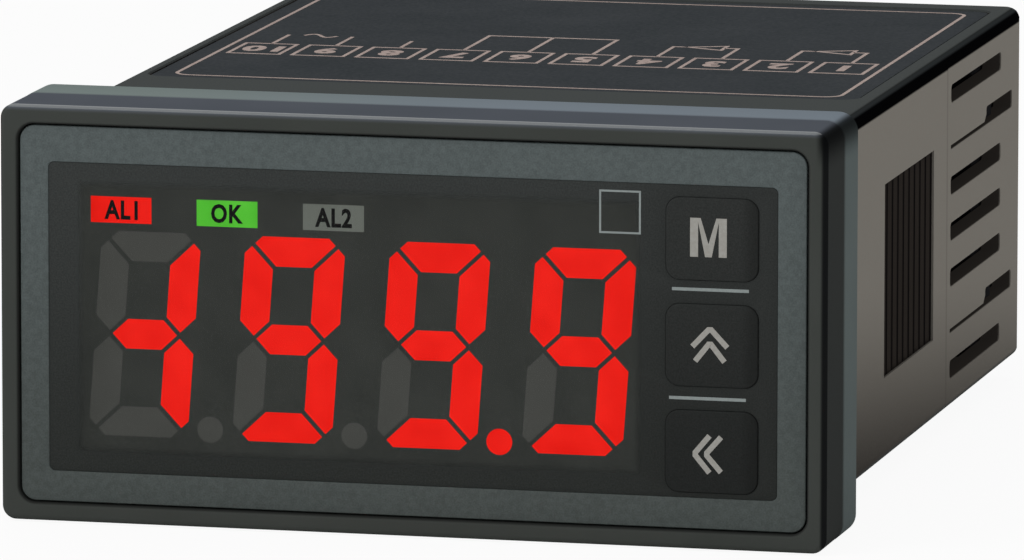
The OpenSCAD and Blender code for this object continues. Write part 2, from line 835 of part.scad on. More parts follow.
module filter_capacitor() {
    color([0.15, 0.2, 0.35]) translate([capacitor_x, rear_row_y, board_top]) rotate_extrude()
        difference() {
            square([capacitor_r, capacitor_h]);
            translate([capacitor_r, 4 * capacitor_groove]) circle(capacitor_groove);
        }
}

// ---- terminals ----

function terminal_x(i) = (i - (terminals - 1) / 2) * terminal_pitch;
tail_z = board_top + tab_t / 2;

module terminal_block() {
    color([0.08, 0.08, 0.09]) difference() {
        union() {
            along_y(y_block, case_depth)
                rounded(block_w, inner_h - 2 * block_gap, pocket_corner);
            for (side = [-1, 1], i = [-latch_at, latch_at])
                brick([2 * (block_gap + lug_reach), lug_len, slot_h - 2 * lug_gap],
                      [side * block_w / 2, y_block, i * slot_pitch]);
        }
        for (i = [0 : terminals - 1]) {
            brick([bay_w, bay_depth + past, bay_h], [terminal_x(i), y_bay, 0]);
            rod(screw_r, y_block - past, y_bay + past, terminal_x(i));
            brick([tail_w, block_floor + 2 * past, tab_t],
                  [terminal_x(i), y_block - past, tail_z]);
        }
    }
}

// Plate under each screw, with a tail through the block to the main board
module terminal_tabs() {
    color([0.8, 0.72, 0.45]) for (i = [0 : terminals - 1]) {
        difference() {
            translate([terminal_x(i) - tab_w / 2, y_bay, board_top])
                cube([tab_w, tab_t, tab_rise - board_top]);
            rod(screw_r + shank_gap, y_bay - past, y_bay + tab_t + past, terminal_x(i));
        }
        brick([tail_w, y_bay - y_block + tail_foot, tab_t],
              [terminal_x(i), y_block - tail_foot, tail_z]);
    }
}

y_washer = y_bay + tab_t;
y_head = y_washer + washer_t;

module terminal_washers() {
    color([0.8, 0.8, 0.8]) for (i = [0 : terminals - 1]) difference() {
        brick([washer_w, washer_t, washer_w], [terminal_x(i), y_washer, 0]);
        rod(screw_r + shank_gap, y_washer - past, y_head + past, terminal_x(i));
    }
}

// Cross-headed screws
module terminal_screws() {
    color([0.85, 0.85, 0.85]) for (i = [0 : terminals - 1]) difference() {
        union() {
            rod(head_r, y_head, y_head + head_t, terminal_x(i));
            rod(screw_r, y_block, y_head, terminal_x(i));
        }
        for (turn = [0, 90]) translate([terminal_x(i), 0, 0]) rotate([0, turn, 0])
            brick([cross_len, head_t, cross_w], [0, y_head + head_t - cross_depth, 0]);
    }
}

bezel();
face_plate();
display_window();
mode_key();
up_key();
shift_key();
mode_plunger();
up_plunger();
shift_plunger();
mode_switch();
up_switch();
shift_switch();
display_housing();
digit_1_lit_bars();
digit_1_dark_bars();
digit_2_lit_bars();
digit_2_dark_bars();
digit_3_lit_bars();
digit_3_dark_bars();
digit_4_lit_bars();
digit_4_dark_bars();
lit_point();
dark_points();
alarm_1_lamp();
ok_lamp();
alarm_2_lamp();
display_board();
case();
top_label();
main_board();
board_header();
header_contacts();
controller_chip();
converter_chip();
signal_couplers();
transformer_core();
transformer_winding();
filter_capacitor();
terminal_block();
terminal_tabs();
terminal_washers();
terminal_screws();
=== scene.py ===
# %% [markdown]
# # A digital panel meter
#
# A panel meter sits in a cut-out of a control panel and shows one measured
# value. In front is a dark bezel with a grained plate, a smoked window and
# three push keys. Behind the window are four seven-segment digits and three
# lamps. A vented sleeve case reaches back to ten screw terminals. The solids
# come packed from the CAD model, and this lesson gives them looks: finished
# edges, printed legends, procedural materials, light and a camera.

import bmesh
import bpy
import numpy as np
from mathutils import Euler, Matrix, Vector
from mathutils.geometry import tessellate_polygon


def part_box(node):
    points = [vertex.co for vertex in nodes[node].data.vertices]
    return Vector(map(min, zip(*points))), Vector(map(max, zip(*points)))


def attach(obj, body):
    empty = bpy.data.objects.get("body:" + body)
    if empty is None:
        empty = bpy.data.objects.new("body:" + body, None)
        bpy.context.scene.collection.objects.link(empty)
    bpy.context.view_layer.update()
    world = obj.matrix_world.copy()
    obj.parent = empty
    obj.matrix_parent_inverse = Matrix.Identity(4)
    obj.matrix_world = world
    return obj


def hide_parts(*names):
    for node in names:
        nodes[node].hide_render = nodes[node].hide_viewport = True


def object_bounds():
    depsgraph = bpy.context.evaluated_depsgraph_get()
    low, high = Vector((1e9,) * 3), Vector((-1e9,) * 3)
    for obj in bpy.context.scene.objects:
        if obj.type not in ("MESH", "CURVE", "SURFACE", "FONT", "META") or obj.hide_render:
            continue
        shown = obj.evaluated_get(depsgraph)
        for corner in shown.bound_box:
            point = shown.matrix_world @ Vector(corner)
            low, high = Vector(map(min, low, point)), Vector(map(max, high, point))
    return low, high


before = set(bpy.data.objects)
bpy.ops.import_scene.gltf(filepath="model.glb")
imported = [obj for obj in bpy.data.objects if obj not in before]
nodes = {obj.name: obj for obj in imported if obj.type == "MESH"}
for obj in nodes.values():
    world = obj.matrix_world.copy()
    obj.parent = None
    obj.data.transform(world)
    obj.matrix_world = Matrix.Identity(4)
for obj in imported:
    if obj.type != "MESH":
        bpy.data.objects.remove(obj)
cad_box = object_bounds()
MM = 0.001

# %% [markdown]
# ## Sizes
#
# Wherever possible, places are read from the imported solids, so a changed bezel
# or case takes its finish along. They could all be typed in, but then they
# would stay behind. Millimetres are used, as they are easier to think in.


# %% Read a solid's box in millimetres
def box_mm(node):
    """Lowest and highest corner of a solid: its box in metres / 0.001."""
    low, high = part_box(node)
    return np.array(low) / MM, np.array(high) / MM


def middle_mm(node):
    """Middle of a solid: (lowest corner + highest corner) / 2."""
    low, high = box_mm(node)
    return (low + high) / 2


bezel_low, bezel_high = box_mm("bezel")
plate_low, plate_high = box_mm("face_plate")
window_low, window_high = box_mm("display_window")
housing_low, housing_high = box_mm("display_housing")
board_low, board_high = box_mm("display_board")
case_low, case_high = box_mm("case")
print("bezel", (bezel_high - bezel_low).round(2), "mm")

# %% [markdown]
# ## Shapes from rings
#
# A moulded frame, a plate and a key cap are all rounded rectangles that change
# a little with depth. They could be boxes with a Bevel modifier, but each
# would then have only one rounding. So one function draws a rounded rectangle
# as a ring of points, and a second joins a stack of rings into a skin, whose
# two parameters are the angle round the ring and the ring's number.

# %% Draw one ring
CORNER_STEPS = 10


def ring(width, height, corner, y, x=0.0, z=0.0):
    """Rounded rectangle at depth y: corner centre + corner radius * (cos t, sin t).

    The corner centres lie at (+-(width / 2 - corner), +-(height / 2 - corner)),
    and t runs through a quarter turn at each of them.
    """
    t = np.linspace(0, 2 * np.pi, 4, endpoint=False)[:, None]
    t = t + np.linspace(0, np.pi / 2, CORNER_STEPS + 1)
    side_x = np.array([1, -1, -1, 1])[:, None]
    side_z = np.array([1, 1, -1, -1])[:, None]
    px = x + side_x * (width / 2 - corner) + corner * np.cos(t)
    pz = z + side_z * (height / 2 - corner) + corner * np.sin(t)
    return np.stack([px, np.full_like(px, y), pz], axis=-1).reshape(-1, 3)


def arc(radius, steps=6):
    """Offsets of a quarter round: radius * (1 - cos t, 1 - sin t), t from 0 to 90."""
    t = np.radians(np.linspace(0, 90, steps + 1))
    return radius * (1 - np.cos(t)), radius * (1 - np.sin(t))


print("a ring has", len(ring(10, 5, 1, 0)), "points")


# %% Join rings into a skin
def loft(rings, closed=False, ends=True):
    """Skin through a stack of rings: point (i, j) is point j of ring i.

    A closed stack joins its last ring to its first. An open one gets a flat
    face over each end, unless its ends are left to another skin.
    """
    rings = np.array(rings)
    count, around = rings.shape[:2]
    i = np.arange(count if closed else count - 1)[:, None]
    j = np.arange(around)[None, :]
    a, b = i * around, (i + 1) % count * around
    following = (j + 1) % around
    quads = np.stack([a + j, a + following, b + following, b + j], axis=-1)
    faces = quads.reshape(-1, 4).tolist()
    if ends and not closed:
        last = (count - 1) * around
        faces += [list(range(around))[::-1], list(range(last, last + around))]
    return rings.reshape(-1, 3), faces


def holed_face(outer, holes):
    """Flat skin of triangles between a ring and the rings cut out of it."""
    loops = [outer, *holes]
    triangles = tessellate_polygon([[Vector(p) for p in loop] for loop in loops])
    return np.concatenate(loops), [list(triangle) for triangle in triangles]


# %% [markdown]
# ## From skins to a piece
#
# A finished mesh needs one skin, normals that point outwards and shading that
# is smooth over a rounding but crisp at a real edge. One function does this
# for every new piece, so none is missed, and another says which body it rides
# on, which solids it stands for and which finish it takes.

# %% Make a piece from skins
SHARP, MERGE = np.radians(38), 2e-7


def place(name, mesh, material, body="meter", replaces=()):
    """Puts a finished mesh in the scene, on its body and with its finish."""
    thing = bpy.data.objects.new(name, mesh)
    bpy.context.scene.collection.objects.link(thing)
    mesh.materials.clear()
    mesh.materials.append(material)
    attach(thing, body)
    if replaces:
        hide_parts(*replaces)
    print(f"{name}: {len(mesh.vertices)} points, {len(mesh.polygons)} faces")
    return thing


def merge(mesh, distance, outwards=False):
    """Makes one point of those closer than a distance, and turns faces out."""
    work = bmesh.new()
    work.from_mesh(mesh)
    bmesh.ops.remove_doubles(work, verts=work.verts, dist=distance)
    if outwards:
        bmesh.ops.recalc_face_normals(work, faces=work.faces)
    work.to_mesh(mesh)
    work.free()
    mesh.shade_smooth()


def piece(name, skins, material, body="meter", replaces=()):
    """One object from a list of (points in mm, faces); metres = mm * 0.001."""
    points, faces, start = [], [], 0
    for skin_points, skin_faces in skins:
        points.append(np.asarray(skin_points) * MM)
        faces += [[start + k for k in face] for face in skin_faces]
        start += len(skin_points)
    mesh = bpy.data.meshes.new(name)
    mesh.from_pydata(np.concatenate(points).tolist(), [], faces)
    merge(mesh, MERGE, outwards=True)
    mesh.set_sharp_from_angle(angle=SHARP)
    return place(name, mesh, material, body, replaces)


# %% [markdown]
# ## Shader maths as Python
#
# A finish is easier to read as a sum than as a picture of nodes. The class
# Value wraps one socket, and + - * / on it add the Math nodes, also when a
# plain number comes first. Graph is any tree of nodes, and Paint is that of a
# material, with the patterns that most finishes share.


# %% Wrap a socket
class Value:
    """A socket's value. Arithmetic on it adds Math nodes to its graph."""

    def __init__(self, graph, socket):
        self.graph, self.socket = graph, socket

    def __add__(self, other):
        return self.graph.math("ADD", self, other)

    def __sub__(self, other):
        return self.graph.math("SUBTRACT", self, other)

    def __rsub__(self, other):
        return self.graph.math("SUBTRACT", other, self)

    def __mul__(self, other):
        return self.graph.math("MULTIPLY", self, other)

    def __truediv__(self, other):
        return self.graph.math("DIVIDE", self, other)

    def __abs__(self):
        return self.graph.math("ABSOLUTE", self)

    __radd__ = __add__
    __rmul__ = __mul__

    def over(self, low, high):
        """0 below low, 1 above high, and a smooth step between them."""
        settings = {"interpolation_type": "SMOOTHSTEP"}
        return self.graph.node("MapRange", settings, {0: self, 1: low, 2: high})

    def near(self, edge, start, end):
        """Rises from 0 to 1 between start and end millimetres inside an edge."""
        return self.over(edge - start, edge - end)

    def between(self, low, high, fade):
        """1 from low to high, falling to 0 over a fade outside them."""
        return self.over(low - fade, low) * (1 - self.over(high, high + fade))

    def spread(self, low, gain):
        """(value - low) * gain: noise keeps near 0.5, and this widens it."""
        return (self - low) * gain

    def off_whole(self):
        """Distance from the nearest whole number: |value - round(value)|."""
        return abs(self - self.graph.math("ROUND", self))


# %% Build a graph of nodes
class Graph:
    """A tree of nodes, to which each sum adds the nodes that it needs."""

    def __init__(self, tree):
        self.tree = tree

    def node(self, kind, settings=None, links=None, output=0):
        """Adds a node, makes its settings, then fills its sockets."""
        made = self.tree.nodes.new("ShaderNode" + kind)
        for key, value in (settings or {}).items():
            setattr(made, key, value)
        for key, value in (links or {}).items():
            self.feed(made.inputs[key], value)
        return Value(self, made.outputs[output])

    def feed(self, socket, value):
        """Links a value to a socket, or sets a plain number or colour on it."""
        if isinstance(value, Value):
            self.tree.links.new(value.socket, socket)
        else:
            socket.default_value = value

    def math(self, operation, a, b=0.0):
        """One Math node: operation(a, b)."""
        return self.node("Math", {"operation": operation}, {0: a, 1: b})

    def rays(self, *kinds):
        """1 for rays of the named kinds, else 0: the largest of their marks."""
        seen = self.node("LightPath", output=f"Is {kinds[0]} Ray")
        for kind in kinds[1:]:
            mark = self.node("LightPath", output=f"Is {kind} Ray")
            seen = self.math("MAXIMUM", seen, mark)
        return seen


# %% Build a material
class Paint(Graph):
    """One material. Constants go straight on the shader's own sockets."""

    def __init__(self, name, **constants):
        self.material = bpy.data.materials.new(name)
        self.material.use_nodes = True
        super().__init__(self.material.node_tree)
        self.shader = self.tree.nodes["Principled BSDF"]
        for key, value in constants.items():
            self.shader.inputs[key.replace("_", " ")].default_value = value

    def set(self, **values):
        """Drives the shader's sockets."""
        for key, value in values.items():
            self.feed(self.shader.inputs[key.replace("_", " ")], value)
        print(f"finish {self.material.name}: {len(self.tree.nodes)} nodes")
        return self.material

    def where(self, axes="xyz"):
        """The point's named coordinates, metres / 0.001, in the meter's own frame."""
        point = self.node("TexCoord", output="Object")
        parts = self.tree.nodes.new("ShaderNodeSeparateXYZ")
        self.feed(parts.inputs[0], point)
        return [Value(self, parts.outputs[axis.upper()]) * (1 / MM) for axis in axes]

    def outside(self, u, v, half_u, half_v, corner):
        """Distance from a rounded rectangle: below 0 inside it, above 0 outside.

        It is the length of (|u| - half_u + corner, |v| - half_v + corner), each
        kept at 0 or more, less the corner radius.
        """
        du = self.math("MAXIMUM", abs(u) - (half_u - corner), 0.0)
        dv = self.math("MAXIMUM", abs(v) - (half_v - corner), 0.0)
        return self.math("SQRT", du * du + dv * dv) - corner

    def noise(self, grain, detail=2.0, stretch=(1.0, 1.0, 1.0)):
        """Noise around 0.5 whose spots are about grain millimetres wide."""
        scale = [1 / (MM * grain * s) for s in stretch]
        point = self.node("TexCoord", output="Object")
        spread = self.node("Mapping", {}, {"Vector": point, "Scale": scale})
        links = {"Vector": spread, "Scale": 1.0, "Detail": detail}
        return self.node("TexNoise", {}, links)

    def mix(self, factor, a, b):
        """Colour a where factor is 0, and b where it is 1."""
        settings = {"data_type": "RGBA"}
        return self.node("Mix", settings, {0: factor, 6: a, 7: b}, output=2)

    def bump(self, height, depth):
        """A normal from a height of 0 to 1 that stands for depth millimetres."""
        links = {"Height": height, "Distance": depth * MM, "Strength": 1.0}
        return self.node("Bump", {}, links)


def tone(red, green, blue):
    """A screen colour of 0 to 255 as the linear colour that shaders use.

    With c = value / 255, it is c / 12.92 in the darkest tones, and
    ((c + 0.055) / 1.055) to the power 2.4 above them.
    """
    c = np.array([red, green, blue]) / 255
    linear = np.where(c <= 0.04045, c / 12.92, ((c + 0.055) / 1.055) ** 2.4)
    return (*linear.tolist(), 1.0)


BLACK = tone(0, 0, 0)
print("mid grey is", round(tone(128, 128, 128)[0], 3), "in linear light")

# %% [markdown]
# ## Finish of the bezel
#
# The bezel is one dark moulding. Its straight rear band is painted paler than the drafted
# part in front, as a painted reflection; its tops are painted lighter where the light falls;
# its right flank, its right long edge and its top right corner are painted in shade; and a
# painted shade runs along the groove round the plate. A plain glossy plastic would leave all
# of this to the lamps, and in a white studio such a plastic turns grey at a low angle. So
# light and shade are painted by place, and the thin line along the top front edge is polished
# and also painted lighter as a highlight.

# %% Places on the bezel
# A pair is where a fade starts and ends, in mm: along y, or inside an edge.
PLATE_CORNER = 0.85
BAND_FADE, GROOVE_SHADE_FADE = (-3.8, -3.2), (0.12, 0.26)
FACE, FACE_EDGE, FACE_TURN = (-7.68, -7.6), (-7.62, -7.5), (-7.6, -7.4)
TOP, GLEAM, SIDE, SHADED_FLANK = (0.45, 0.15), (0.26, 0.18), (0.46, 0.26), (0.4, 0.2)
SHADED_CORNER_X, SHADED_CORNER_Z = (0.8, 0.35), (2.4, 0.4)
paint = Paint("bezel_painted_shading", Specular_IOR_Level=0.0, Coat_Roughness=0.1)
x, y, z = paint.where()
half_x, half_z = bezel_high[0], bezel_high[2]
# Painted reflection: the rear band is painted paler than the part in front.
lit_band = y.over(*BAND_FADE)
at_front = 1 - y.over(*FACE)
# Painted light: the top faces are painted lighter.
on_top = z.near(half_z, *TOP)
# Painted highlight along the top front edge, which also gets a real coat.
gleam = z.near(half_z, *GLEAM) * (1 - y.over(*FACE_EDGE))
# Painted shade on the right front edge.
shaded_side_edge = x.near(half_x, *SIDE) * (1 - y.over(*FACE_TURN))
# Painted shade at the top right corner.
shaded_corner = x.near(half_x, *SHADED_CORNER_X) * z.near(half_z, *SHADED_CORNER_Z)
plate_edge = paint.outside(x, z, plate_high[0], plate_high[2], PLATE_CORNER)
# Painted shade on the frame along the gap round the plate.
groove_shade = at_front * (1 - plate_edge.over(*GROOVE_SHADE_FADE))
print(f"the bezel's half sizes are {half_x:.1f} and {half_z:.1f} mm")

# %% Tones of the bezel
LIT_TOP_HUE_FADE = (-18, 6)
SHADE, GLEAM_SHARE, CLOUD_SHARE, POLISH = 0.9, 0.7, 0.4, 0.5
cloud = paint.noise(9.0)
grain = paint.noise(0.12, 3.0)
front = paint.mix(cloud, tone(62, 65, 62), tone(72, 75, 72))
# Painted shade: the right flank is painted darker.
front = paint.mix(x.near(half_x, *SHADED_FLANK), front, tone(54, 56, 55))
# Painted light: lighter tones for the top in front.
lit_front_top = paint.mix(cloud, tone(81, 86, 93), tone(95, 99, 107))
front = paint.mix(on_top, front, lit_front_top)
front = paint.mix(SHADE * shaded_side_edge, front, tone(20, 21, 22))
# Painted shade along the gap round the plate.
front = paint.mix(SHADE * groove_shade, front, tone(40, 41, 40))
# Painted highlight: the top front edge is painted lighter.
front = paint.mix(GLEAM_SHARE * gleam, front, tone(128, 132, 133))
# Painted reflection: the paler tones of the rear band.
rear = paint.mix(cloud, tone(86, 94, 94), tone(100, 108, 107))
# Painted light: lighter tones for the top of the rear band, bluer to the right.
lit_rear_top = paint.mix(x.over(*LIT_TOP_HUE_FADE), tone(124, 136, 132), tone(124, 134, 144))
lit_rear_top = paint.mix(CLOUD_SHARE * cloud, lit_rear_top, tone(138, 146, 150))
rear = paint.mix(on_top, rear, lit_rear_top)
whole = paint.mix(lit_band, front, rear)
bezel_painted_shading = paint.set(
    # Painted shade: the top right corner is painted nearly black.
    Base_Color=paint.mix(SHADE * shaded_corner, whole, tone(12, 13, 14)),
    Roughness=0.4 + 0.1 * cloud,
    Coat_Weight=POLISH * gleam,
    Normal=paint.bump(grain, 0.002),
)

# %% [markdown]
# ## Finish of the plate
#
# The plate is printed in grey with a fine mottled grain, and is painted paler towards its top
# as painted light from above. One noise could make the grain, but it would look like sand.
# Two of different size, added together, give fine specks with a few larger spots.

# %% Plate
PLATE_LIGHT_FADE = (-11, 11)
paint = Paint("plate_grain", Specular_IOR_Level=0.25)
[z] = paint.where("z")
fine = paint.noise(0.1, 3.0)
spots = paint.noise(0.35, 2.0)
speck = (0.6 * fine + 0.4 * spots).spread(0.38, 4.0)
# Painted light: lighter tones above, shaded tones below, mixed by height.
lower = paint.mix(speck, tone(60, 66, 64), tone(74, 81, 79))
upper = paint.mix(speck, tone(74, 82, 82), tone(89, 98, 98))
plate_grain = paint.set(
    Base_Color=paint.mix(z.over(*PLATE_LIGHT_FADE), lower, upper),
    Roughness=0.5 + 0.2 * fine,
    Normal=paint.bump(fine, 0.012),
)

# %% [markdown]
# ## Finish of the window
#
# The real window is clear plastic with a nearly black film behind it, which is
# left open over the display. Glass with a dark volume could stand for it, but
# it would blur the digits and cost much light. So the film is opaque and
# becomes almost clear over the display, and what lies behind it stays crisp.

# %% Where the window is clear
CLEAR, CLEAR_FADE = 0.05, 0.6
CLEAR_LOW, CLEAR_HIGH = [1.1, 0, 0.95], [-0.8, 0, -0.8]
BEHIND, BEHIND_FADE = (0.1, 0.2), 0.05
paint = Paint("window_film", Specular_IOR_Level=0.12)
x, y, z = paint.where()


def within(low, high, fade):
    """1 inside a box of x and z, falling to 0 over a fade around it."""
    return x.between(low[0], high[0], fade) * z.between(low[2], high[2], fade)


over_display = within(housing_low + CLEAR_LOW, housing_high + CLEAR_HIGH, CLEAR_FADE)
behind = y.over(*(window_low[1] + BEHIND))
see_front = over_display * (1 - CLEAR) * (1 - behind)
see_behind = within(housing_low, housing_high, BEHIND_FADE) * behind
print("the window is clear over", (housing_high - housing_low)[[0, 2]].round(1), "mm")

# %% Tones of the window
FILM_LIGHT_FADE, SHADE_FADE, SHADE_SHARE = (-10, 10), (11, 16), 0.3
fine = paint.noise(0.09, 3.0)
mottle = fine.spread(0.35, 3.0)
# Painted light: the film is shaded low and lit high, mixed by height.
film_shaded = paint.mix(mottle, tone(31, 34, 32), tone(44, 47, 45))
film_lit = paint.mix(mottle, tone(45, 48, 47), tone(59, 62, 61))
film_tone = paint.mix(z.over(*FILM_LIGHT_FADE), film_shaded, film_lit)
# Painted shade: the film darkens towards the keys.
shade_by_the_keys = SHADE_SHARE * x.over(*SHADE_FADE)
window_film = paint.set(
    Base_Color=paint.mix(shade_by_the_keys, film_tone, tone(26, 27, 26)),
    Roughness=0.5 + 0.15 * fine,
    Alpha=1 - see_front - see_behind,
    Normal=paint.bump(fine, 0.006),
)

# %% [markdown]
# ## Finishes of the display
#
# Behind the film are a dark housing and light guides. A lit guide is an even, strong colour,
# and the dark ones beside it still look grey, since some of that light reaches them. Real
# light through real guides could do this, but it would be grainy. So each has its own
# emission, strong or weak, which drifts softly between two tones. The weak emission of the
# dark guides, the unlit lamp and the dark housing is a painted glow that stands in for the
# light falling on them, so that the film's shadow doesn't show on the housing.


# %% Housing and dark guides
# Painted glow: a dark part of the display emits weakly in place of the light that falls on
# it.
def backlit(name, low, high, strength=0.9):
    """A dark part of the display: weak emission, mixed by 0.6 fine + 0.4 soft noise."""
    new = Paint(name, Emission_Strength=strength, Specular_IOR_Level=0.0, Roughness=0.6)
    blend = 0.6 * new.noise(0.11, 3.0) + 0.4 * new.noise(3.0)
    colour = new.mix(blend.spread(0.3, 2.5), low, high)
    return new.set(
        Base_Color=new.mix(0.8, colour, tone(12, 12, 12)), Emission_Color=colour)


housing_dark = backlit("housing_dark", tone(43, 45, 43), tone(56, 58, 55))
guide_dark = backlit("guide_dark", tone(63, 64, 61), tone(70, 71, 68))
lamp_grey = backlit("lamp_grey", tone(94, 98, 92), tone(102, 106, 100))


# %% Lit guides
def glow(name, low, high, strength):
    """A lit light guide: its colour drifts softly between two tones."""
    new = Paint(name, Emission_Strength=strength, Roughness=0.5, Specular_IOR_Level=0.05)
    colour = new.mix(new.noise(1.6, 1.0).spread(0.3, 2.5), low, high)
    return new.set(
        Base_Color=new.mix(0.85, colour, tone(10, 8, 8)), Emission_Color=colour)


lit_red = glow("lit_red", tone(228, 22, 12), tone(238, 30, 20), 0.93)
lit_green = glow("lit_green", tone(74, 176, 46), tone(86, 190, 56), 0.95)

# %% [markdown]
# ## Finish of the keys
#
# The key pads are moulded in nearly the window's tone and have the same fine speckle, so that
# only their outline and their legend stand out. They could share its film, but that one is
# see-through in places. Their own finish carries painted shade: it is painted darker below
# and at their right edge.

# %% Keys
PAD_HALF, PAD_SHADE, PAD_SHADE_SHARE, PAD_LIGHT_FADE = 2.6, (1.1, 0.1), 0.45, (-9, 8)
paint = Paint("key_film", Specular_IOR_Level=0.05)
x, z = paint.where("xz")
speck = paint.noise(0.09, 3.0).spread(0.35, 3.0)
pad_edge = middle_mm("up_key")[0] + PAD_HALF
# Painted light: lighter tones above, shaded tones below.
upper = paint.mix(speck, tone(44, 46, 45), tone(54, 56, 55))
lower = paint.mix(speck, tone(32, 34, 33), tone(40, 42, 41))
pad_tone = paint.mix(z.over(*PAD_LIGHT_FADE), lower, upper)
# Painted shade at the pads' right edge.
pad_shade = PAD_SHADE_SHARE * x.near(pad_edge, *PAD_SHADE)
key_film = paint.set(
    Base_Color=paint.mix(pad_shade, pad_tone, tone(20, 21, 20)),
    Roughness=0.5 + 0.1 * speck,
    Normal=paint.bump(speck, 0.004),
)

# %% [markdown]
# ## Finish of the case
#
# The sleeve is a matt moulding in warm grey with smoother long edges. Its long edges carry a
# painted reflection, dark with a pale painted streak; its top gets a cooler tone as painted
# light; and its sides get painted shade that darkens downwards. Its vents and its bracket
# ratchets are cut in. The lamps alone would leave so thin a slot black, where the real one is
# a very dark brown. So all that lies deeper than the outer skin gets a dark painted shade and
# a very faint painted glow, and the ratchets have a painted shadow line, black, at each tooth
# instead. A thin painted shadow marks the step in the sides.

# %% Places on the case
# A pair is where a fade starts and ends, in mm: inside an edge, or off a line.
CASE_CORNER, STEP_FROM_REAR, STEP_FADE = 1.0, 22.0, (0.1, 0.45)
EDGE_X, EDGE_Z, LID = (0.62, 0.42), (1.0, 0.86), (0.8, 0.3)
HIGHLIGHT_OUTER, HIGHLIGHT_INNER = (0.5, 0.44), (0.36, 0.22)
WALL, REAR_RIM = (-0.16, -0.1), (0.6, 0.5)
RATCHET_LOW, RATCHET_HIGH, RATCHET_PITCH = 15.0, 29.0, 14 / 9
RACK_ROOM, RACK_FADE, TOOTH_FADE = 0.1, 0.1, (0.05, 0.2)
paint = Paint("case_moulding", Specular_IOR_Level=0.0, Emission_Strength=1.0)
x, y, z = paint.where()
half_w, half_h, rear_y = case_high[0], case_high[2], case_high[1]
# Painted reflection: the long edges are painted dark, with a painted pale streak.
edge = abs(x).near(half_w, *EDGE_X) * z.near(half_h, *EDGE_Z)
streak_highlight = abs(x).near(half_w, *HIGHLIGHT_OUTER) * (1 - abs(x).near(half_w, *HIGHLIGHT_INNER))
# Painted light: the top and bottom faces get a tone of their own as the light falls on them.
lid = abs(z).near(half_h, *LID)
# Painted shade: all that lies deeper than the outer skin.
recess_shade = 1 - paint.outside(x, z, half_w, half_h, CASE_CORNER).over(*WALL)
recess_shade = recess_shade * (1 - y.near(rear_y, *REAR_RIM))
# Painted shadow: a thin dark line at the step in the sides.
step_shadow = 1 - abs(y - (rear_y - STEP_FROM_REAR)).over(*STEP_FADE)
# Painted shadow: a dark line at each ratchet tooth.
tooth_shadow = 1 - ((y - RATCHET_LOW) / RATCHET_PITCH).off_whole().over(*TOOTH_FADE)
rack = y.between(RATCHET_LOW - RACK_ROOM, RATCHET_HIGH + RACK_ROOM, RACK_FADE)
print("case", (case_high - case_low).round(1), "mm, teeth at", round(RATCHET_PITCH, 2), "mm")

# %% Tones of the case
SHADE_LEAN, SHADE_START, SHADE_BELOW, SHADE_ABOVE = 0.12, 30, 5.0, 9.5
FINE_SHARE, STEP_SHARE = 0.2, 0.3
fine = paint.noise(0.15, 3.0)
cloud = paint.noise(14.0)
leaned = z + SHADE_LEAN * (y - SHADE_START)
shade_down = leaned.over(-half_h - SHADE_BELOW, -half_h + SHADE_ABOVE)
# Painted shade: the sides are painted darker downwards.
lit_side = paint.mix(shade_down, tone(38, 35, 34), tone(131, 127, 120))
lit_side = paint.mix(FINE_SHARE * fine, lit_side, tone(110, 106, 99))
# Painted shadow at the step.
lit_side = paint.mix(STEP_SHARE * step_shadow, lit_side, tone(70, 66, 62))
# Painted light: a cooler tone for the top as the light falls on it.
lit_top = paint.mix(fine, tone(72, 76, 76), tone(84, 87, 86))
# Painted reflection: dark long edges with a pale painted highlight streak.
edge_reflection = paint.mix(streak_highlight, tone(5, 5, 6), tone(44, 47, 48))
skin_tone = paint.mix(edge, paint.mix(lid, lit_side, lit_top), edge_reflection)
# Painted shadow lines at the ratchet teeth.
shaded_teeth = paint.mix(tooth_shadow, tone(46, 42, 39), tone(16, 14, 14))
# Painted shade in the recesses.
inside = paint.mix(rack, tone(30, 27, 25), shaded_teeth)
case_moulding = paint.set(
    Base_Color=paint.mix(recess_shade, skin_tone, inside),
    # Painted glow: a very faint emission in the recesses outside the ratchets.
    Emission_Color=paint.mix(recess_shade * (1 - rack), BLACK, tone(24, 22, 20)),
    Roughness=0.55 + 0.1 * cloud - 0.25 * edge,
    Normal=paint.bump(fine, 0.01),
)

# %% [markdown]
# ## Finishes of the small parts
#
# The label, the inks, the plastics and the chips are all nearly even surfaces.
# A single colour would look like a drawing, so one function mixes two close
# tones by noise of two sizes and adds a shallow bump. Each line gives the
# grain, the roughness, the bump's depth and the specular level.


# %% Label and inks
def speckled(name, low, high, grain, rough, depth, specular=0.3):
    """Two close tones, mixed by 0.7 fine + 0.3 soft noise, and a fine bump."""
    new = Paint(name, Specular_IOR_Level=specular)
    fine = new.noise(grain, 3.0)
    soft = new.noise(grain * 30)
    blend = 0.7 * fine + 0.3 * soft
    return new.set(
        Base_Color=new.mix(blend.spread(0.35, 3.0), low, high),
        Roughness=rough + 0.15 * (soft - 0.5),
        Normal=new.bump(fine, depth),
    )


label_film = speckled(
    "label_film", tone(60, 64, 67), tone(72, 75, 78), 0.2, 0.5, 0.003, 0.0)
ink_light = speckled(
    "ink_light", tone(158, 156, 149), tone(168, 167, 162), 0.15, 0.5, 0.002, 0.1)
ink_cool = speckled(
    "ink_cool", tone(138, 146, 145), tone(150, 158, 157), 0.15, 0.5, 0.002, 0.1)
ink_rose = speckled(
    "ink_rose", tone(172, 154, 148), tone(196, 180, 172), 0.3, 0.5, 0.002, 0.0)
ink_black = speckled(
    "ink_black", tone(8, 8, 8), tone(14, 14, 14), 0.15, 0.5, 0.002, 0.1)

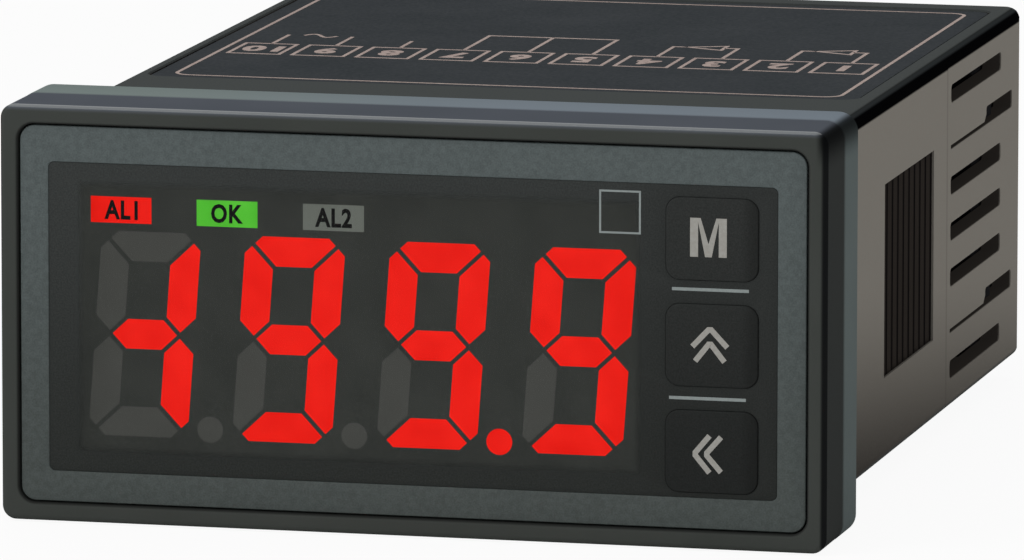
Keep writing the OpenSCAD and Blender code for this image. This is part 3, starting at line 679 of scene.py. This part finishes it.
# %% Plastics behind the panel
black_moulding = speckled(
    "black_moulding", tone(26, 26, 28), tone(36, 36, 38), 0.12, 0.5, 0.01, 0.0)
switch_black = speckled(
    "switch_black", tone(24, 24, 25), tone(32, 32, 33), 0.1, 0.45, 0.004)
plunger_nylon = speckled(
    "plunger_nylon", tone(196, 190, 176), tone(208, 202, 188), 0.2, 0.4, 0.002)
chip_epoxy = speckled(
    "chip_epoxy", tone(22, 22, 23), tone(38, 38, 39), 0.06, 0.65, 0.006)
coupler_white = speckled(
    "coupler_white", tone(222, 221, 214), tone(234, 233, 227), 0.2, 0.45, 0.003)
capacitor_sleeve = speckled(
    "capacitor_sleeve", tone(26, 38, 74), tone(36, 50, 92), 0.3, 0.3, 0.002)

# %% [markdown]
# ## Finishes of the metal parts
#
# The screws, washers, terminal plates, pins and core plates are plated or
# rolled metal, with fine marks along the way they were drawn. A brushed image
# could give these, but stretched noise does it without one.


# %% Metals
def metal(name, low, high, grain, rough, stretch):
    """Plated metal: noise stretched along the drawing varies tone and polish."""
    new = Paint(name, Metallic=1.0)
    fine = new.noise(grain, 3.0, stretch)
    return new.set(
        Base_Color=new.mix(fine.spread(0.3, 2.5), low, high),
        Roughness=rough + 0.25 * (fine - 0.5),
        Normal=new.bump(fine, 0.002),
    )


screw_plating = metal(
    "screw_plating", tone(176, 174, 168), tone(214, 212, 206), 0.08, 0.3, (6, 1, 1))
contact_brass = metal(
    "contact_brass", tone(190, 162, 96), tone(216, 190, 124), 0.1, 0.32, (1, 6, 1))
core_steel = metal(
    "core_steel", tone(92, 90, 86), tone(122, 120, 114), 0.35, 0.5, (30, 1, 30))

# %% [markdown]
# ## Finish of the circuit boards
#
# A board is glass weave under green mask, with copper tracks that show through
# as a paler, raised green. Each track could be drawn, but the boards show only
# through the vents. So lines at the usual pitch are broken up by noise.

# %% Circuit boards
TRACK_PITCH, TRACK_EDGE, TRACK_BREAK = 1.27, (0.10, 0.14), 0.5
paint = Paint("circuit_board", Specular_IOR_Level=0.5, Roughness=0.35)
[x] = paint.where("x")
lines = 1 - (x / TRACK_PITCH).off_whole().over(*TRACK_EDGE)
copper = lines * (paint.noise(5.0, 0.0) - TRACK_BREAK).over(0.0, 0.02)
weave = paint.noise(0.3)
mask_green = paint.mix(weave, tone(16, 74, 42), tone(22, 86, 50))
circuit_board = paint.set(
    Base_Color=paint.mix(copper, mask_green, tone(40, 118, 66)),
    Roughness=0.3 + 0.2 * weave,
    Normal=paint.bump(copper, 0.03),
)

# %% [markdown]
# ## Finish of the transformer's winding
#
# The winding is hundreds of turns of enamelled copper wire. They could be modelled, but
# nothing of them is ever seen from nearer than a vent. So a saw of the height, one tooth a
# turn, makes the wires' bump, and darkens their tone towards the gap between turns as painted
# shade.

# %% Copper winding
WIRE_PITCH = 0.35
paint = Paint("winding_wire", Metallic=0.0, Coat_Weight=0.4)
[z] = paint.where("z")
turn = (z / WIRE_PITCH).off_whole() * 2
wire = paint.noise(1.5, 1.0, (4, 4, 0.3))
winding_wire = paint.set(
    # Painted shade: the tone darkens towards the gap between turns.
    Base_Color=paint.mix(turn, tone(172, 104, 48), tone(92, 48, 20)),
    Roughness=0.3 + 0.2 * wire,
    Normal=paint.bump(1 - turn, 0.12),
)

# %% [markdown]
# ## Finishes for the solids that stay
#
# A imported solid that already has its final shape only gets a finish. A table
# by finish shows at once which real parts are of the same material.

# %% Give the solids that stay their finishes
finishes = {
    switch_black: ["mode_switch", "up_switch", "shift_switch"],
    plunger_nylon: ["mode_plunger", "up_plunger", "shift_plunger"],
    housing_dark: ["display_housing"],
    circuit_board: ["display_board", "main_board"],
    lit_red: ["lit_point", "alarm_1_lamp"] + [f"digit_{i}_lit_bars" for i in range(1, 5)],
    guide_dark: ["dark_points"] + [f"digit_{i}_dark_bars" for i in range(1, 5)],
    lit_green: ["ok_lamp"],
    lamp_grey: ["alarm_2_lamp"],
    winding_wire: ["transformer_winding"],
    capacitor_sleeve: ["filter_capacitor"],
    black_moulding: ["board_header"],
    contact_brass: ["header_contacts", "terminal_tabs"],
    chip_epoxy: ["controller_chip", "converter_chip"],
    coupler_white: ["signal_couplers"],
    core_steel: ["transformer_core"],
    screw_plating: ["terminal_washers"],
    label_film: ["top_label"],
    case_moulding: ["case"],
}
for material, solids in finishes.items():
    for node in solids:
        nodes[node].data.materials.clear()
        nodes[node].data.materials.append(material)
print(sum(map(len, finishes.values())), "solids finished")

# %% [markdown]
# ## The bezel
#
# The real bezel is one moulding: a straight band against the panel, sides
# that draw in towards the front, a rounded front edge, a flat frame and a
# pocket for the plate. A Bevel modifier would give all its edges the same
# rounding. So a stack of rings goes once round the section, from the rear
# edge over the front and back through the pockets, and closes.

# %% Rings of the bezel
bezel_w, bezel_h = (bezel_high - bezel_low)[[0, 2]]
front_y = bezel_low[1]
TIGHTEST = 0.05


def inset_ring(inset, y, corner):
    """Ring that lies inset millimetres inside the bezel's outline."""
    corner = max(corner - inset, TIGHTEST)
    return ring(bezel_w - 2 * inset, bezel_h - 2 * inset, corner, y)


def clearance_ring(low, high, gap, corner, y):
    """Centred ring around a neighbour's box: its largest reach + the gap."""
    half = np.maximum(np.abs(low), np.abs(high))[[0, 2]] + gap
    return ring(2 * half[0], 2 * half[1], corner, y)


# %% Outside of the bezel
BAND, BAND_CORNER, REAR_ROUND, BAND_BREAK = 3.4, 1.1, 0.1, (0.02, 0.06)
DRAFT, BEZEL_CORNER, FRONT_ROUND = 0.1, 0.9, 0.35
over_x, over_y = arc(REAR_ROUND, 3)
section = [inset_ring(a, -b, BAND_CORNER) for a, b in zip(over_y, over_x)]
section.append(inset_ring(0, -BAND + BAND_BREAK[1], BAND_CORNER))
section.append(inset_ring(BAND_BREAK[0], -BAND, BAND_CORNER))
section += [
    inset_ring(DRAFT + a, front_y + b, BEZEL_CORNER)
    for a, b in zip(*arc(FRONT_ROUND, 8))
]
print(len(section), "rings on the outside")

# %% Pockets of the bezel
FRAME, POCKET_CORNER, POCKET_ROUND = 1.15, 0.95, 0.2
FRONT_GAP, FRONT_GAP_CORNER, CASE_GAP, CASE_GAP_CORNER = 0.1, 0.6, 0.05, 1.05
pocket_w, pocket_h = bezel_w - 2 * FRAME, bezel_h - 2 * FRAME
over_x, over_y = arc(POCKET_ROUND)
section += [
    ring(pocket_w + 2 * a, pocket_h + 2 * a, POCKET_CORNER + a, front_y + b)
    for a, b in zip(over_x[::-1], over_y[::-1])
]
section.append(ring(pocket_w, pocket_h, POCKET_CORNER, plate_high[1]))
for low, high, gap, corner, depths in (
    (window_low, window_high, FRONT_GAP, FRONT_GAP_CORNER, (plate_high[1], board_low[1])),
    (board_low, board_high, FRONT_GAP, FRONT_GAP_CORNER, (board_low[1], case_low[1])),
    (case_low, case_high, CASE_GAP, CASE_GAP_CORNER, (case_low[1], 0)),
):
    section += [clearance_ring(low, high, gap, corner, y) for y in depths]
piece("bezel_shell", [loft(section, closed=True)], bezel_painted_shading,
      replaces=["bezel"])

# %% [markdown]
# ## The front plate
#
# The plate is a flat ring around the window. It could be cut out of a sheet
# and bevelled, but its section, a small rectangle with softened front edges,
# carried once round, gives clean faces at once.

# %% Front plate
PLATE_ROUND, HOLE_CORNER, WINDOW_LAP = 0.07, 0.35, 0.5
plate_w, plate_h = (plate_high - plate_low)[[0, 2]]
window_x, _, window_z = middle_mm("display_window")
hole_w, hole_h = (window_high - window_low)[[0, 2]] - 2 * WINDOW_LAP


def hole_ring(inset, y, corner=HOLE_CORNER):
    """Ring that lies inset millimetres inside the plate's opening."""
    return ring(hole_w - 2 * inset, hole_h - 2 * inset, corner, y, window_x, window_z)


out_x, out_y = arc(PLATE_ROUND, 3)
plate_rings = [ring(plate_w, plate_h, PLATE_CORNER, plate_high[1])]
plate_rings += [
    ring(plate_w - 2 * a, plate_h - 2 * a, PLATE_CORNER - a, plate_low[1] + b)
    for a, b in zip(out_x, out_y)
]
plate_rings += [
    hole_ring(-a, plate_low[1] + b, HOLE_CORNER + a)
    for a, b in zip(out_x[::-1], out_y[::-1])
]
plate_rings.append(hole_ring(0, plate_high[1]))
piece("front_plate", [loft(plate_rings, closed=True)], plate_grain,
      replaces=["face_plate"])

# %% [markdown]
# ## The keys
#
# A key is one moulding: a stem that pushes the switch, a flange that keeps the
# key in, and a pad with a soft front edge, because a finger rests on it.
# Three boxes could be joined for it, but then faces would lie inside it. One
# stack of rings from the stem's end to the pad leaves a single closed skin.
# Each cap rides on its own button, so it sinks when that button is pressed.

# %% Keys
KEYS = ("mode", "up", "shift")
KEY_LAP, KEY_CORNER, KEY_ROUND, KEY_FLANGE, KEY_GAP, STEM = 0.4, 0.8, 0.09, 0.5, 0.05, 0.9


def key_cap(key):
    """Stem, flange and pad in one stack of rings, from the stem's end to the pad."""
    low, high = box_mm(f"{key}_key")
    x, _, z = (low + high) / 2
    w, h = (high - low)[[0, 2]] - 2 * KEY_LAP
    flange_y = window_high[1] + KEY_GAP
    flange_end = flange_y + KEY_FLANGE
    rings = [ring(2 * STEM, 2 * STEM, STEM, y, x, z) for y in (high[1], flange_end)]
    rings += [
        ring(w + 2 * KEY_LAP, h + 2 * KEY_LAP, KEY_CORNER, y, x, z)
        for y in (flange_end, flange_y)
    ]
    rings.append(ring(w, h, KEY_CORNER, flange_y, x, z))
    rings += [
        ring(w - 2 * a, h - 2 * a, KEY_CORNER - a, low[1] + b, x, z)
        for a, b in zip(*arc(KEY_ROUND, 8))
    ]
    piece(f"{key}_cap", [loft(rings)], key_film, f"{key}_button", [f"{key}_key"])


for key in KEYS:
    key_cap(key)

# %% [markdown]
# ## The window
#
# The window is a sheet with three openings for the keys and a flange that lies
# behind the plate. Holes could be cut with a Boolean modifier, which leaves
# long thin faces. Here the outline and the three openings are skins of their
# own, and two flat faces with holes close them in front and at the rear.

# %% Smoked window
FILM_GAP, SILL, SILL_INSET = 0.015, 0.02, 0.01
front, rear = window_low[1], window_high[1]


def key_opening(key, grow, y):
    """Ring around a key's pad, with a small clearance."""
    low, high = box_mm(f"{key}_key")
    x, _, z = (low + high) / 2
    w, h = (high - low)[[0, 2]] + 2 * (FILM_GAP + grow - KEY_LAP)
    return ring(w, h, KEY_CORNER + FILM_GAP + grow, y, x, z)


out_x, out_y = arc(SILL, 3)
sill = list(zip(out_x[::-1], front + out_y[::-1]))
outline = [hole_ring(SILL_INSET + a, y) for a, y in sill]
outline += [hole_ring(SILL_INSET, plate_high[1]), hole_ring(-WINDOW_LAP, plate_high[1])]
outline.append(hole_ring(-WINDOW_LAP, rear))
openings = [
    [key_opening(key, a, y) for a, y in sill] + [key_opening(key, 0, rear)]
    for key in KEYS
]
skins = [loft(stack, ends=False) for stack in [outline, *openings]]
for end in (0, -1):
    skins.append(holed_face(outline[end], [stack[end] for stack in openings]))
piece("smoked_window", skins, window_film, replaces=["display_window"])

# %% [markdown]
# ## Printed legends
#
# Ink stands about a hundredth of a millimetre proud of what it is printed on.
# It could be painted in a material, but edges as sharp as print need faces.
# A printed line is a thin rectangle carried along a path, with mitred corners.
# Letters come from Blender's own font. Both are drawn flat as (u, v, height),
# and a small function lays them on the front, on the top or on the rear.

# %% Draw lines and letters
INK, LETTER_GAP, LETTER_SMOOTH = 0.015, 1.1, 3


def line(path, width, closed=False):
    """Band along a path: each point moves by +-width / 2 along its mitre.

    The mitre of two segments with normals m and n is (m + n) / (1 + m . n).
    """
    p = np.array(path, float)
    step = np.roll(p, -1, axis=0) - p
    if not closed:
        step[-1] = step[-2]
    step /= np.linalg.norm(step, axis=1, keepdims=True)
    before = np.roll(step, 1, axis=0)
    if not closed:
        before[0] = step[0]
    quarter = np.array([[0, 1], [-1, 0]])
    m, n = before @ quarter, step @ quarter
    mitre = (m + n) / (1 + np.sum(m * n, axis=1, keepdims=True))
    left, right = p + mitre * width / 2, p - mitre * width / 2
    sides = np.stack([left, left, right, right], axis=1)
    height = np.broadcast_to(np.array([0, INK, INK, 0]), sides.shape[:2])
    return loft(np.concatenate([sides, height[..., None]], axis=-1), closed)


def letters(text, height, squeeze, bold, at, turned=False):
    """Text as a thin solid: scaled to a height, squeezed, centred on a place."""
    curve = bpy.data.curves.new("text", "FONT")
    curve.body, curve.offset, curve.resolution_u = text, bold, LETTER_SMOOTH
    curve.space_character, curve.extrude = LETTER_GAP, 0.5
    thing = bpy.data.objects.new("text", curve)
    bpy.context.scene.collection.objects.link(thing)
    bpy.context.view_layer.update()
    graph = bpy.context.evaluated_depsgraph_get()
    solid = bpy.data.meshes.new_from_object(thing.evaluated_get(graph))
    p = np.array([v.co for v in solid.vertices])
    faces = [list(f.vertices) for f in solid.polygons]
    low, high = p.min(axis=0), p.max(axis=0)
    p = p - (low + high) / 2
    p[:, :2] *= height / (high[1] - low[1]) * (-1 if turned else 1)
    p[:, 0] = p[:, 0] * squeeze + at[0]
    p[:, 1] += at[1]
    p[:, 2] = (p[:, 2] + 0.5) * INK
    bpy.data.objects.remove(thing)
    bpy.data.meshes.remove(solid)
    return p, faces


print("a straight line has", len(line([(0, 0), (1, 0)], 0.1)[0]), "points")


# %% Lay print on a surface
def on_front(skin, y):
    """u is x, v is z, and the height comes out of the front: (u, y - h, v)."""
    u, v, h = np.asarray(skin[0]).T
    return np.stack([u, y - h, v], axis=1), skin[1]


def on_top(skin, z):
    """u is x, v is y, and the height goes up: (u, v, z + h)."""
    u, v, h = np.asarray(skin[0]).T
    return np.stack([u, v, z + h], axis=1), skin[1]


def on_rear(skin, y):
    """u runs to the right seen from behind, and v is z: (-u, y + h, v)."""
    u, v, h = np.asarray(skin[0]).T
    return np.stack([-u, y + h, v], axis=1), skin[1]


def rectangle(x0, y0, x1, y1):
    """Corners of an upright rectangle, from the lower left round to the left."""
    return [(x0, y0), (x1, y0), (x1, y1), (x0, y1)]


# %% [markdown]
# ## Legends on the window
#
# Two short rules part the keys, and a thin frame marks where the unit of the
# measured value goes. It is bare here, as on a meter that is new. The rules
# are placed from the middles of the keys, so they follow them.

# %% Window legends
RULE_HALF, RULE_WIDTH = 2.2, 0.18
RULE_SHIFTS = ((-0.1, 0.15), (-0.25, 0.0))
UNIT_FRAME, UNIT_LINE = (10.92, 5.85, 13.2, 8.2), 0.11
middles = [middle_mm(f"{key}_key") for key in KEYS]
print_skins = []
for upper, lower, (aside, lift) in zip(middles, middles[1:], RULE_SHIFTS):
    rule_x, rule_z = upper[0] + aside, (upper[2] + lower[2]) / 2 + lift
    ends = [(rule_x - RULE_HALF, rule_z), (rule_x + RULE_HALF, rule_z)]
    print_skins.append(line(ends, RULE_WIDTH))
print_skins.append(line(rectangle(*UNIT_FRAME), UNIT_LINE, closed=True))
piece("window_print", [on_front(skin, window_low[1]) for skin in print_skins],
      ink_cool)

# %% [markdown]
# ## Legends on the keys
#
# The mode key has a bold M, the others have double chevrons. The font's M is
# too light and too wide, so this one is drawn from its outline. A chevron is
# a line with a blunt tip, since a full mitre would run out to a spike.

# %% Draw the legends of the keys
KEY_INK, BLUNT = 0.31, 0.08
M_HALF, M_TOP, M_STEM, M_TIP, M_NOTCH, M_ARM, M_DIP = 1.05, 1.1, 0.46, 0.19, 0.87, 0.6, -0.36


def chevron(tip, ends):
    """Two strokes that meet in a blunt tip: tip + 0.08 * (end - tip) on each."""
    tip, ends = np.array(tip), np.array(ends)
    blunt = tip + BLUNT * (ends - tip)
    return line([ends[0], blunt[0], blunt[1], ends[1]], KEY_INK)


def stamp(outline):
    """A flat letter from its outline, at heights 0 and INK."""
    points = np.array(outline, float)
    return loft([np.column_stack([points, np.full(len(points), h)]) for h in (0, INK)])


def letter_m(x, z):
    """An M about a place: its right half, the dip, and the half mirrored."""
    inner = M_HALF - M_STEM
    right = [(M_TIP, -M_TOP), (inner, M_NOTCH), (inner, -M_TOP),
             (M_HALF, -M_TOP), (M_HALF, M_TOP), (M_HALF - M_ARM, M_TOP)]
    whole = [*right, (0, M_DIP), *[(-u, v) for u, v in reversed(right)]]
    return stamp([(x + u, z + v) for u, v in whole])


# %% Key legends
M_ASIDE, M_LIFT = -0.2, 0.1
UP_ASIDE, UP_DEEP, UP_PAIR = -0.1, 1.06, ((1.0, 1.0), (0.18, 0.84))
SHIFT_LIFT, SHIFT_DEEP, SHIFT_PAIR = -0.12, 0.88, ((-0.98, 1.05), (-0.32, 1.0))
(mode_x, _, mode_z), (up_x, _, up_z), (shift_x, _, shift_z) = middles
up_x, shift_z = up_x + UP_ASIDE, shift_z + SHIFT_LIFT
marks = {
    "mode": [letter_m(mode_x + M_ASIDE, mode_z + M_LIFT)],
    "up": [
        chevron((up_x, up_z + tip), [(up_x + u, up_z + tip - UP_DEEP) for u in (-half, half)])
        for tip, half in UP_PAIR
    ],
    "shift": [
        chevron((shift_x + tip, shift_z),
                [(shift_x + tip + SHIFT_DEEP, shift_z + v) for v in (half, -half)])
        for tip, half in SHIFT_PAIR
    ],
}
pad_y = box_mm("mode_key")[0][1]
for key in KEYS:
    piece(f"{key}_mark", [on_front(mark, pad_y) for mark in marks[key]], ink_light,
          f"{key}_button")

# %% [markdown]
# ## Legends on the lamps
#
# Each lamp is a light guide with black letters printed on its face: two
# alarms and a word for all is well. Blender's font does for these, made a
# little narrower and bolder, because the real letters are tall and thick.

# %% Lamp legends
LAMP_TEXTS = {"alarm_1": "AL1", "ok": "OK", "alarm_2": "AL2"}
LAMP_LETTER, LAMP_SQUEEZE, LAMP_BOLD = 1.1, 0.82, 0.035
for lamp, text in LAMP_TEXTS.items():
    x, _, z = middle_mm(f"{lamp}_lamp")
    word = letters(text, LAMP_LETTER, LAMP_SQUEEZE, LAMP_BOLD, (x, z))
    lamp_y = box_mm(f"{lamp}_lamp")[0][1]
    piece(f"{lamp}_legend", [on_front(word, lamp_y)], ink_black)

# %% [markdown]
# ## The label on top
#
# The wiring label is read from behind, by whoever connects the meter. It has a
# frame, ten boxes numbered as the terminals are, and plain wiring symbols.
# The places for names and ratings are bare. It could be one flat picture, but
# lines and numbers with their own faces stay sharp from near by.

# %% Frame and numbered boxes
label_low, label_high = box_mm("top_label")
BOX_PITCH, BOX_W, BOX_FOOT, BOX_TOP, THIN = 3.9, 3.1, 24.0, 28.4, 0.22
BORDER_W, BORDER_L, BORDER_CORNER, BORDER_SHIFT = 39.6, 37.0, 1.0, 0.1
BOX_DIGIT, BOX_SQUEEZE, BOX_BOLD = 2.3, 0.9, 0.04
border_y = (label_low[1] + label_high[1]) / 2 + BORDER_SHIFT
border = ring(BORDER_W, BORDER_L, BORDER_CORNER, 0, 0, border_y)[:, [0, 2]]
label_skins = [line(border, THIN, closed=True)]
box_x = [BOX_PITCH * (4.5 - i) for i in range(10)]
for number, x in enumerate(box_x, 1):
    box = rectangle(x - BOX_W / 2, BOX_FOOT, x + BOX_W / 2, BOX_TOP)
    middle = (x, (BOX_FOOT + BOX_TOP) / 2)
    label_skins.append(line(box, THIN, closed=True))
    label_skins.append(
        letters(str(number), BOX_DIGIT, BOX_SQUEEZE, BOX_BOLD, middle, turned=True))
print(len(box_x), "boxes at a pitch of", BOX_PITCH, "mm")

# %% Wiring symbols
CONTACT, ARROW_HALF, ARROW_BACK = 4.5, 1.1, 0.9
LINK, TAP, MAINS, WAVE_HEIGHT = 6.5, 3.0, 4.0, 0.6


def lead(i, length):
    """A straight line from a terminal's box towards the rear."""
    return [(box_x[i], BOX_TOP), (box_x[i], BOX_TOP + length)]


def contact(i, k):
    """Two leads and the triangle of a relay contact between them."""
    far = BOX_TOP + CONTACT
    middle = (box_x[i] + box_x[k]) / 2
    right, left = middle + ARROW_HALF, middle - ARROW_HALF
    arrow = [(right, far + ARROW_BACK), (right, far - ARROW_BACK), (left, far)]
    return [
        line([*lead(i, CONTACT), (right, far)], THIN),
        line([*lead(k, CONTACT), (left, far)], THIN),
        line(arrow, THIN, closed=True),
    ]


label_skins += contact(0, 1) + contact(2, 3)
bridge = [*lead(4, LINK), (box_x[6], BOX_TOP + LINK), lead(6, 0)[0]]
wave_t = np.linspace(0, 2 * np.pi, 13)
wave_x = (box_x[8] + box_x[9]) / 2 + wave_t / np.pi - 1
wave = np.stack([wave_x, BOX_TOP + MAINS + WAVE_HEIGHT * np.sin(wave_t)], 1)
for path in (bridge, lead(5, LINK), lead(7, TAP), wave, lead(8, MAINS), lead(9, MAINS)):
    label_skins.append(line(path, THIN))
piece("label_print", [on_top(skin, label_high[2]) for skin in label_skins], ink_rose)

# %% [markdown]
# ## Edges that catch the light
#
# No moulding, stamping or chip has a perfectly sharp edge. These solids could
# be built again from rings, but their forms are already right. So a copy of
# each is merged from its loose triangles, and a Bevel modifier rounds its
# edges by 0.06 to 0.15 millimetres.

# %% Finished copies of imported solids
ROUNDED = {
    "terminal_block": (0.12, black_moulding),
    "terminal_screws": (0.1, screw_plating),
    "terminal_washers": (0.06, screw_plating),
    "terminal_tabs": (0.06, contact_brass),
    "controller_chip": (0.12, chip_epoxy),
    "converter_chip": (0.12, chip_epoxy),
    "signal_couplers": (0.15, coupler_white),
    "transformer_core": (0.1, core_steel),
    "board_header": (0.08, black_moulding),
}
SOLID_MERGE, SHALLOW = 1e-6, np.radians(30)
for node, (width, material) in ROUNDED.items():
    name = node + "_finished"
    mesh = nodes[node].data.copy()
    mesh.name = name
    merge(mesh, SOLID_MERGE)
    copy = place(name, mesh, material, replaces=[node])
    rounding = copy.modifiers.new("edges", "BEVEL")
    rounding.width, rounding.segments = width * MM, 2
    rounding.limit_method, rounding.angle_limit = "ANGLE", SHALLOW
    rounding.use_clamp_overlap = False
    rounding.miter_outer = "MITER_SHARP"
    rounding.harden_normals = True

# %% [markdown]
# ## Numbers at the terminals
#
# Each terminal bay is numbered on the block's rear, from 1 at the left seen
# from behind to 10 at the right, as on the label. Real numbers are moulded in
# or printed. These are printed, because the other legends are too.

# %% Numbers at the terminals
BAY_PITCH, BAY_NUMBER_Z, BAY_DIGIT, BAY_SQUEEZE, BAY_BOLD = 4.1, 8.0, 1.6, 0.9, 0.02
rear_y = box_mm("terminal_block")[1][1]
bay_x = np.linspace(-4.5, 4.5, 10) * BAY_PITCH
skins = [
    letters(str(10 - i), BAY_DIGIT, BAY_SQUEEZE, BAY_BOLD, (-x, BAY_NUMBER_Z))
    for i, x in enumerate(bay_x)
]
piece("terminal_numbers", [on_rear(skin, rear_y) for skin in skins], ink_light)

# %% [markdown]
# ## Camera
#
# The meter is seen from a little above and from the right, at arm's length
# and through a long lens, so that its long edges run nearly parallel. A near
# camera with a short lens would fill the frame too, but would swell the front.

# %% Camera
CAMERA_PLACE, CAMERA_TURN = (0.16228, -0.65315, 0.1075), (90 - 8.948, -0.056, 13.633)
camera_data = bpy.data.cameras.new("camera")
camera = bpy.data.objects.new("camera", camera_data)
bpy.context.scene.collection.objects.link(camera)
camera_data.sensor_width = 36
camera_data.lens = 421.8
camera_data.clip_start = 0.01
camera.location = CAMERA_PLACE
camera.rotation_euler = Euler(np.radians(CAMERA_TURN))
bpy.context.scene.camera = camera
print("camera", round(camera.location.length, 2), "m from the origin")

# %% [markdown]
# ## Light
#
# Three large soft lamps stand around the meter: one overhead, one at the
# front left as the main light, and one at the right for the case's side.
# A sun would be simpler, but would draw hard shadows. The world adds an even
# fill from all sides.


# %% Lamps
def softbox(name, location, target, size, power):
    """A square area lamp of a size in metres; it looks along target - location."""
    data = bpy.data.lights.new(name, "AREA")
    data.shape, data.size, data.energy = "SQUARE", size, power
    lamp = bpy.data.objects.new(name, data)
    bpy.context.scene.collection.objects.link(lamp)
    lamp.location = location
    aim = Vector(target) - Vector(location)
    lamp.rotation_euler = aim.to_track_quat("-Z", "Y").to_euler()
    print(f"{name}: {power} W from {aim.length:.2f} m")


LAMP_SIZE = 0.3
softbox("overhead", (-0.1, -0.15, 0.5), (0, 0.02, 0), LAMP_SIZE, 0.45)
softbox("front_left", (-0.45, -0.5, 0.25), (0, 0, 0), LAMP_SIZE, 1.3)
softbox("right", (0.5, 0.1, 0.1), (0, 0.03, 0), LAMP_SIZE, 0.5)

# %% [markdown]
# ## White around the meter
#
# The background is white, but a white world at full strength would wash the
# meter out. The world is therefore white only for rays that come straight
# from the camera, through glass or off a mirror, and half as strong as light
# on the object.

# %% World
FILL = 0.5
world = bpy.data.worlds.new("studio")
bpy.context.scene.world = world
world.use_nodes = True
sky = Graph(world.node_tree)
background = sky.tree.nodes["Background"]
background.inputs["Color"].default_value = (1, 1, 1, 1)
seen = sky.rays("Camera", "Transmission", "Glossy")
sky.feed(background.inputs["Strength"], FILL + (1 - FILL) * seen)
print("fill light at", FILL, "of white")

# %% [markdown]
# ## Floor
#
# The meter lies on a pale floor that runs out into the white. A plain pale
# floor would end in a grey horizon. Here most of what the camera sees of it
# is an even white, and the small rest is a matt surface that still takes the
# meter's soft shadow.

# %% Floor
FLOOR_WHITE, HALF_FLOOR = 0.93, 6.0
paint = Paint("floor_pale", Base_Color=(0.9, 0.9, 0.9, 1), Roughness=0.9,
              Specular_IOR_Level=0)
matt = Value(paint, paint.shader.outputs[0])
seen = paint.rays("Camera", "Glossy", "Transmission")
white = paint.node("Emission")
surface = paint.node("MixShader", {}, {0: FLOOR_WHITE * seen, 1: matt, 2: white})
paint.feed(paint.tree.nodes["Material Output"].inputs["Surface"], surface)
floor_z = cad_box[0][2]
corners = rectangle(-HALF_FLOOR, -HALF_FLOOR, HALF_FLOOR, HALF_FLOOR)
mesh = bpy.data.meshes.new("floor")
mesh.from_pydata([(*corner, floor_z) for corner in corners], [], [(0, 1, 2, 3)])
mesh.materials.append(paint.material)
floor = bpy.data.objects.new("floor", mesh)
bpy.context.scene.collection.objects.link(floor)
print("floor", 2 * HALF_FLOOR, "m wide, under the meter")

# %% [markdown]
# ## Colours
#
# The Standard view shows each colour as it is written.

# %% Colours as written
bpy.context.scene.view_settings.view_transform = "Standard"
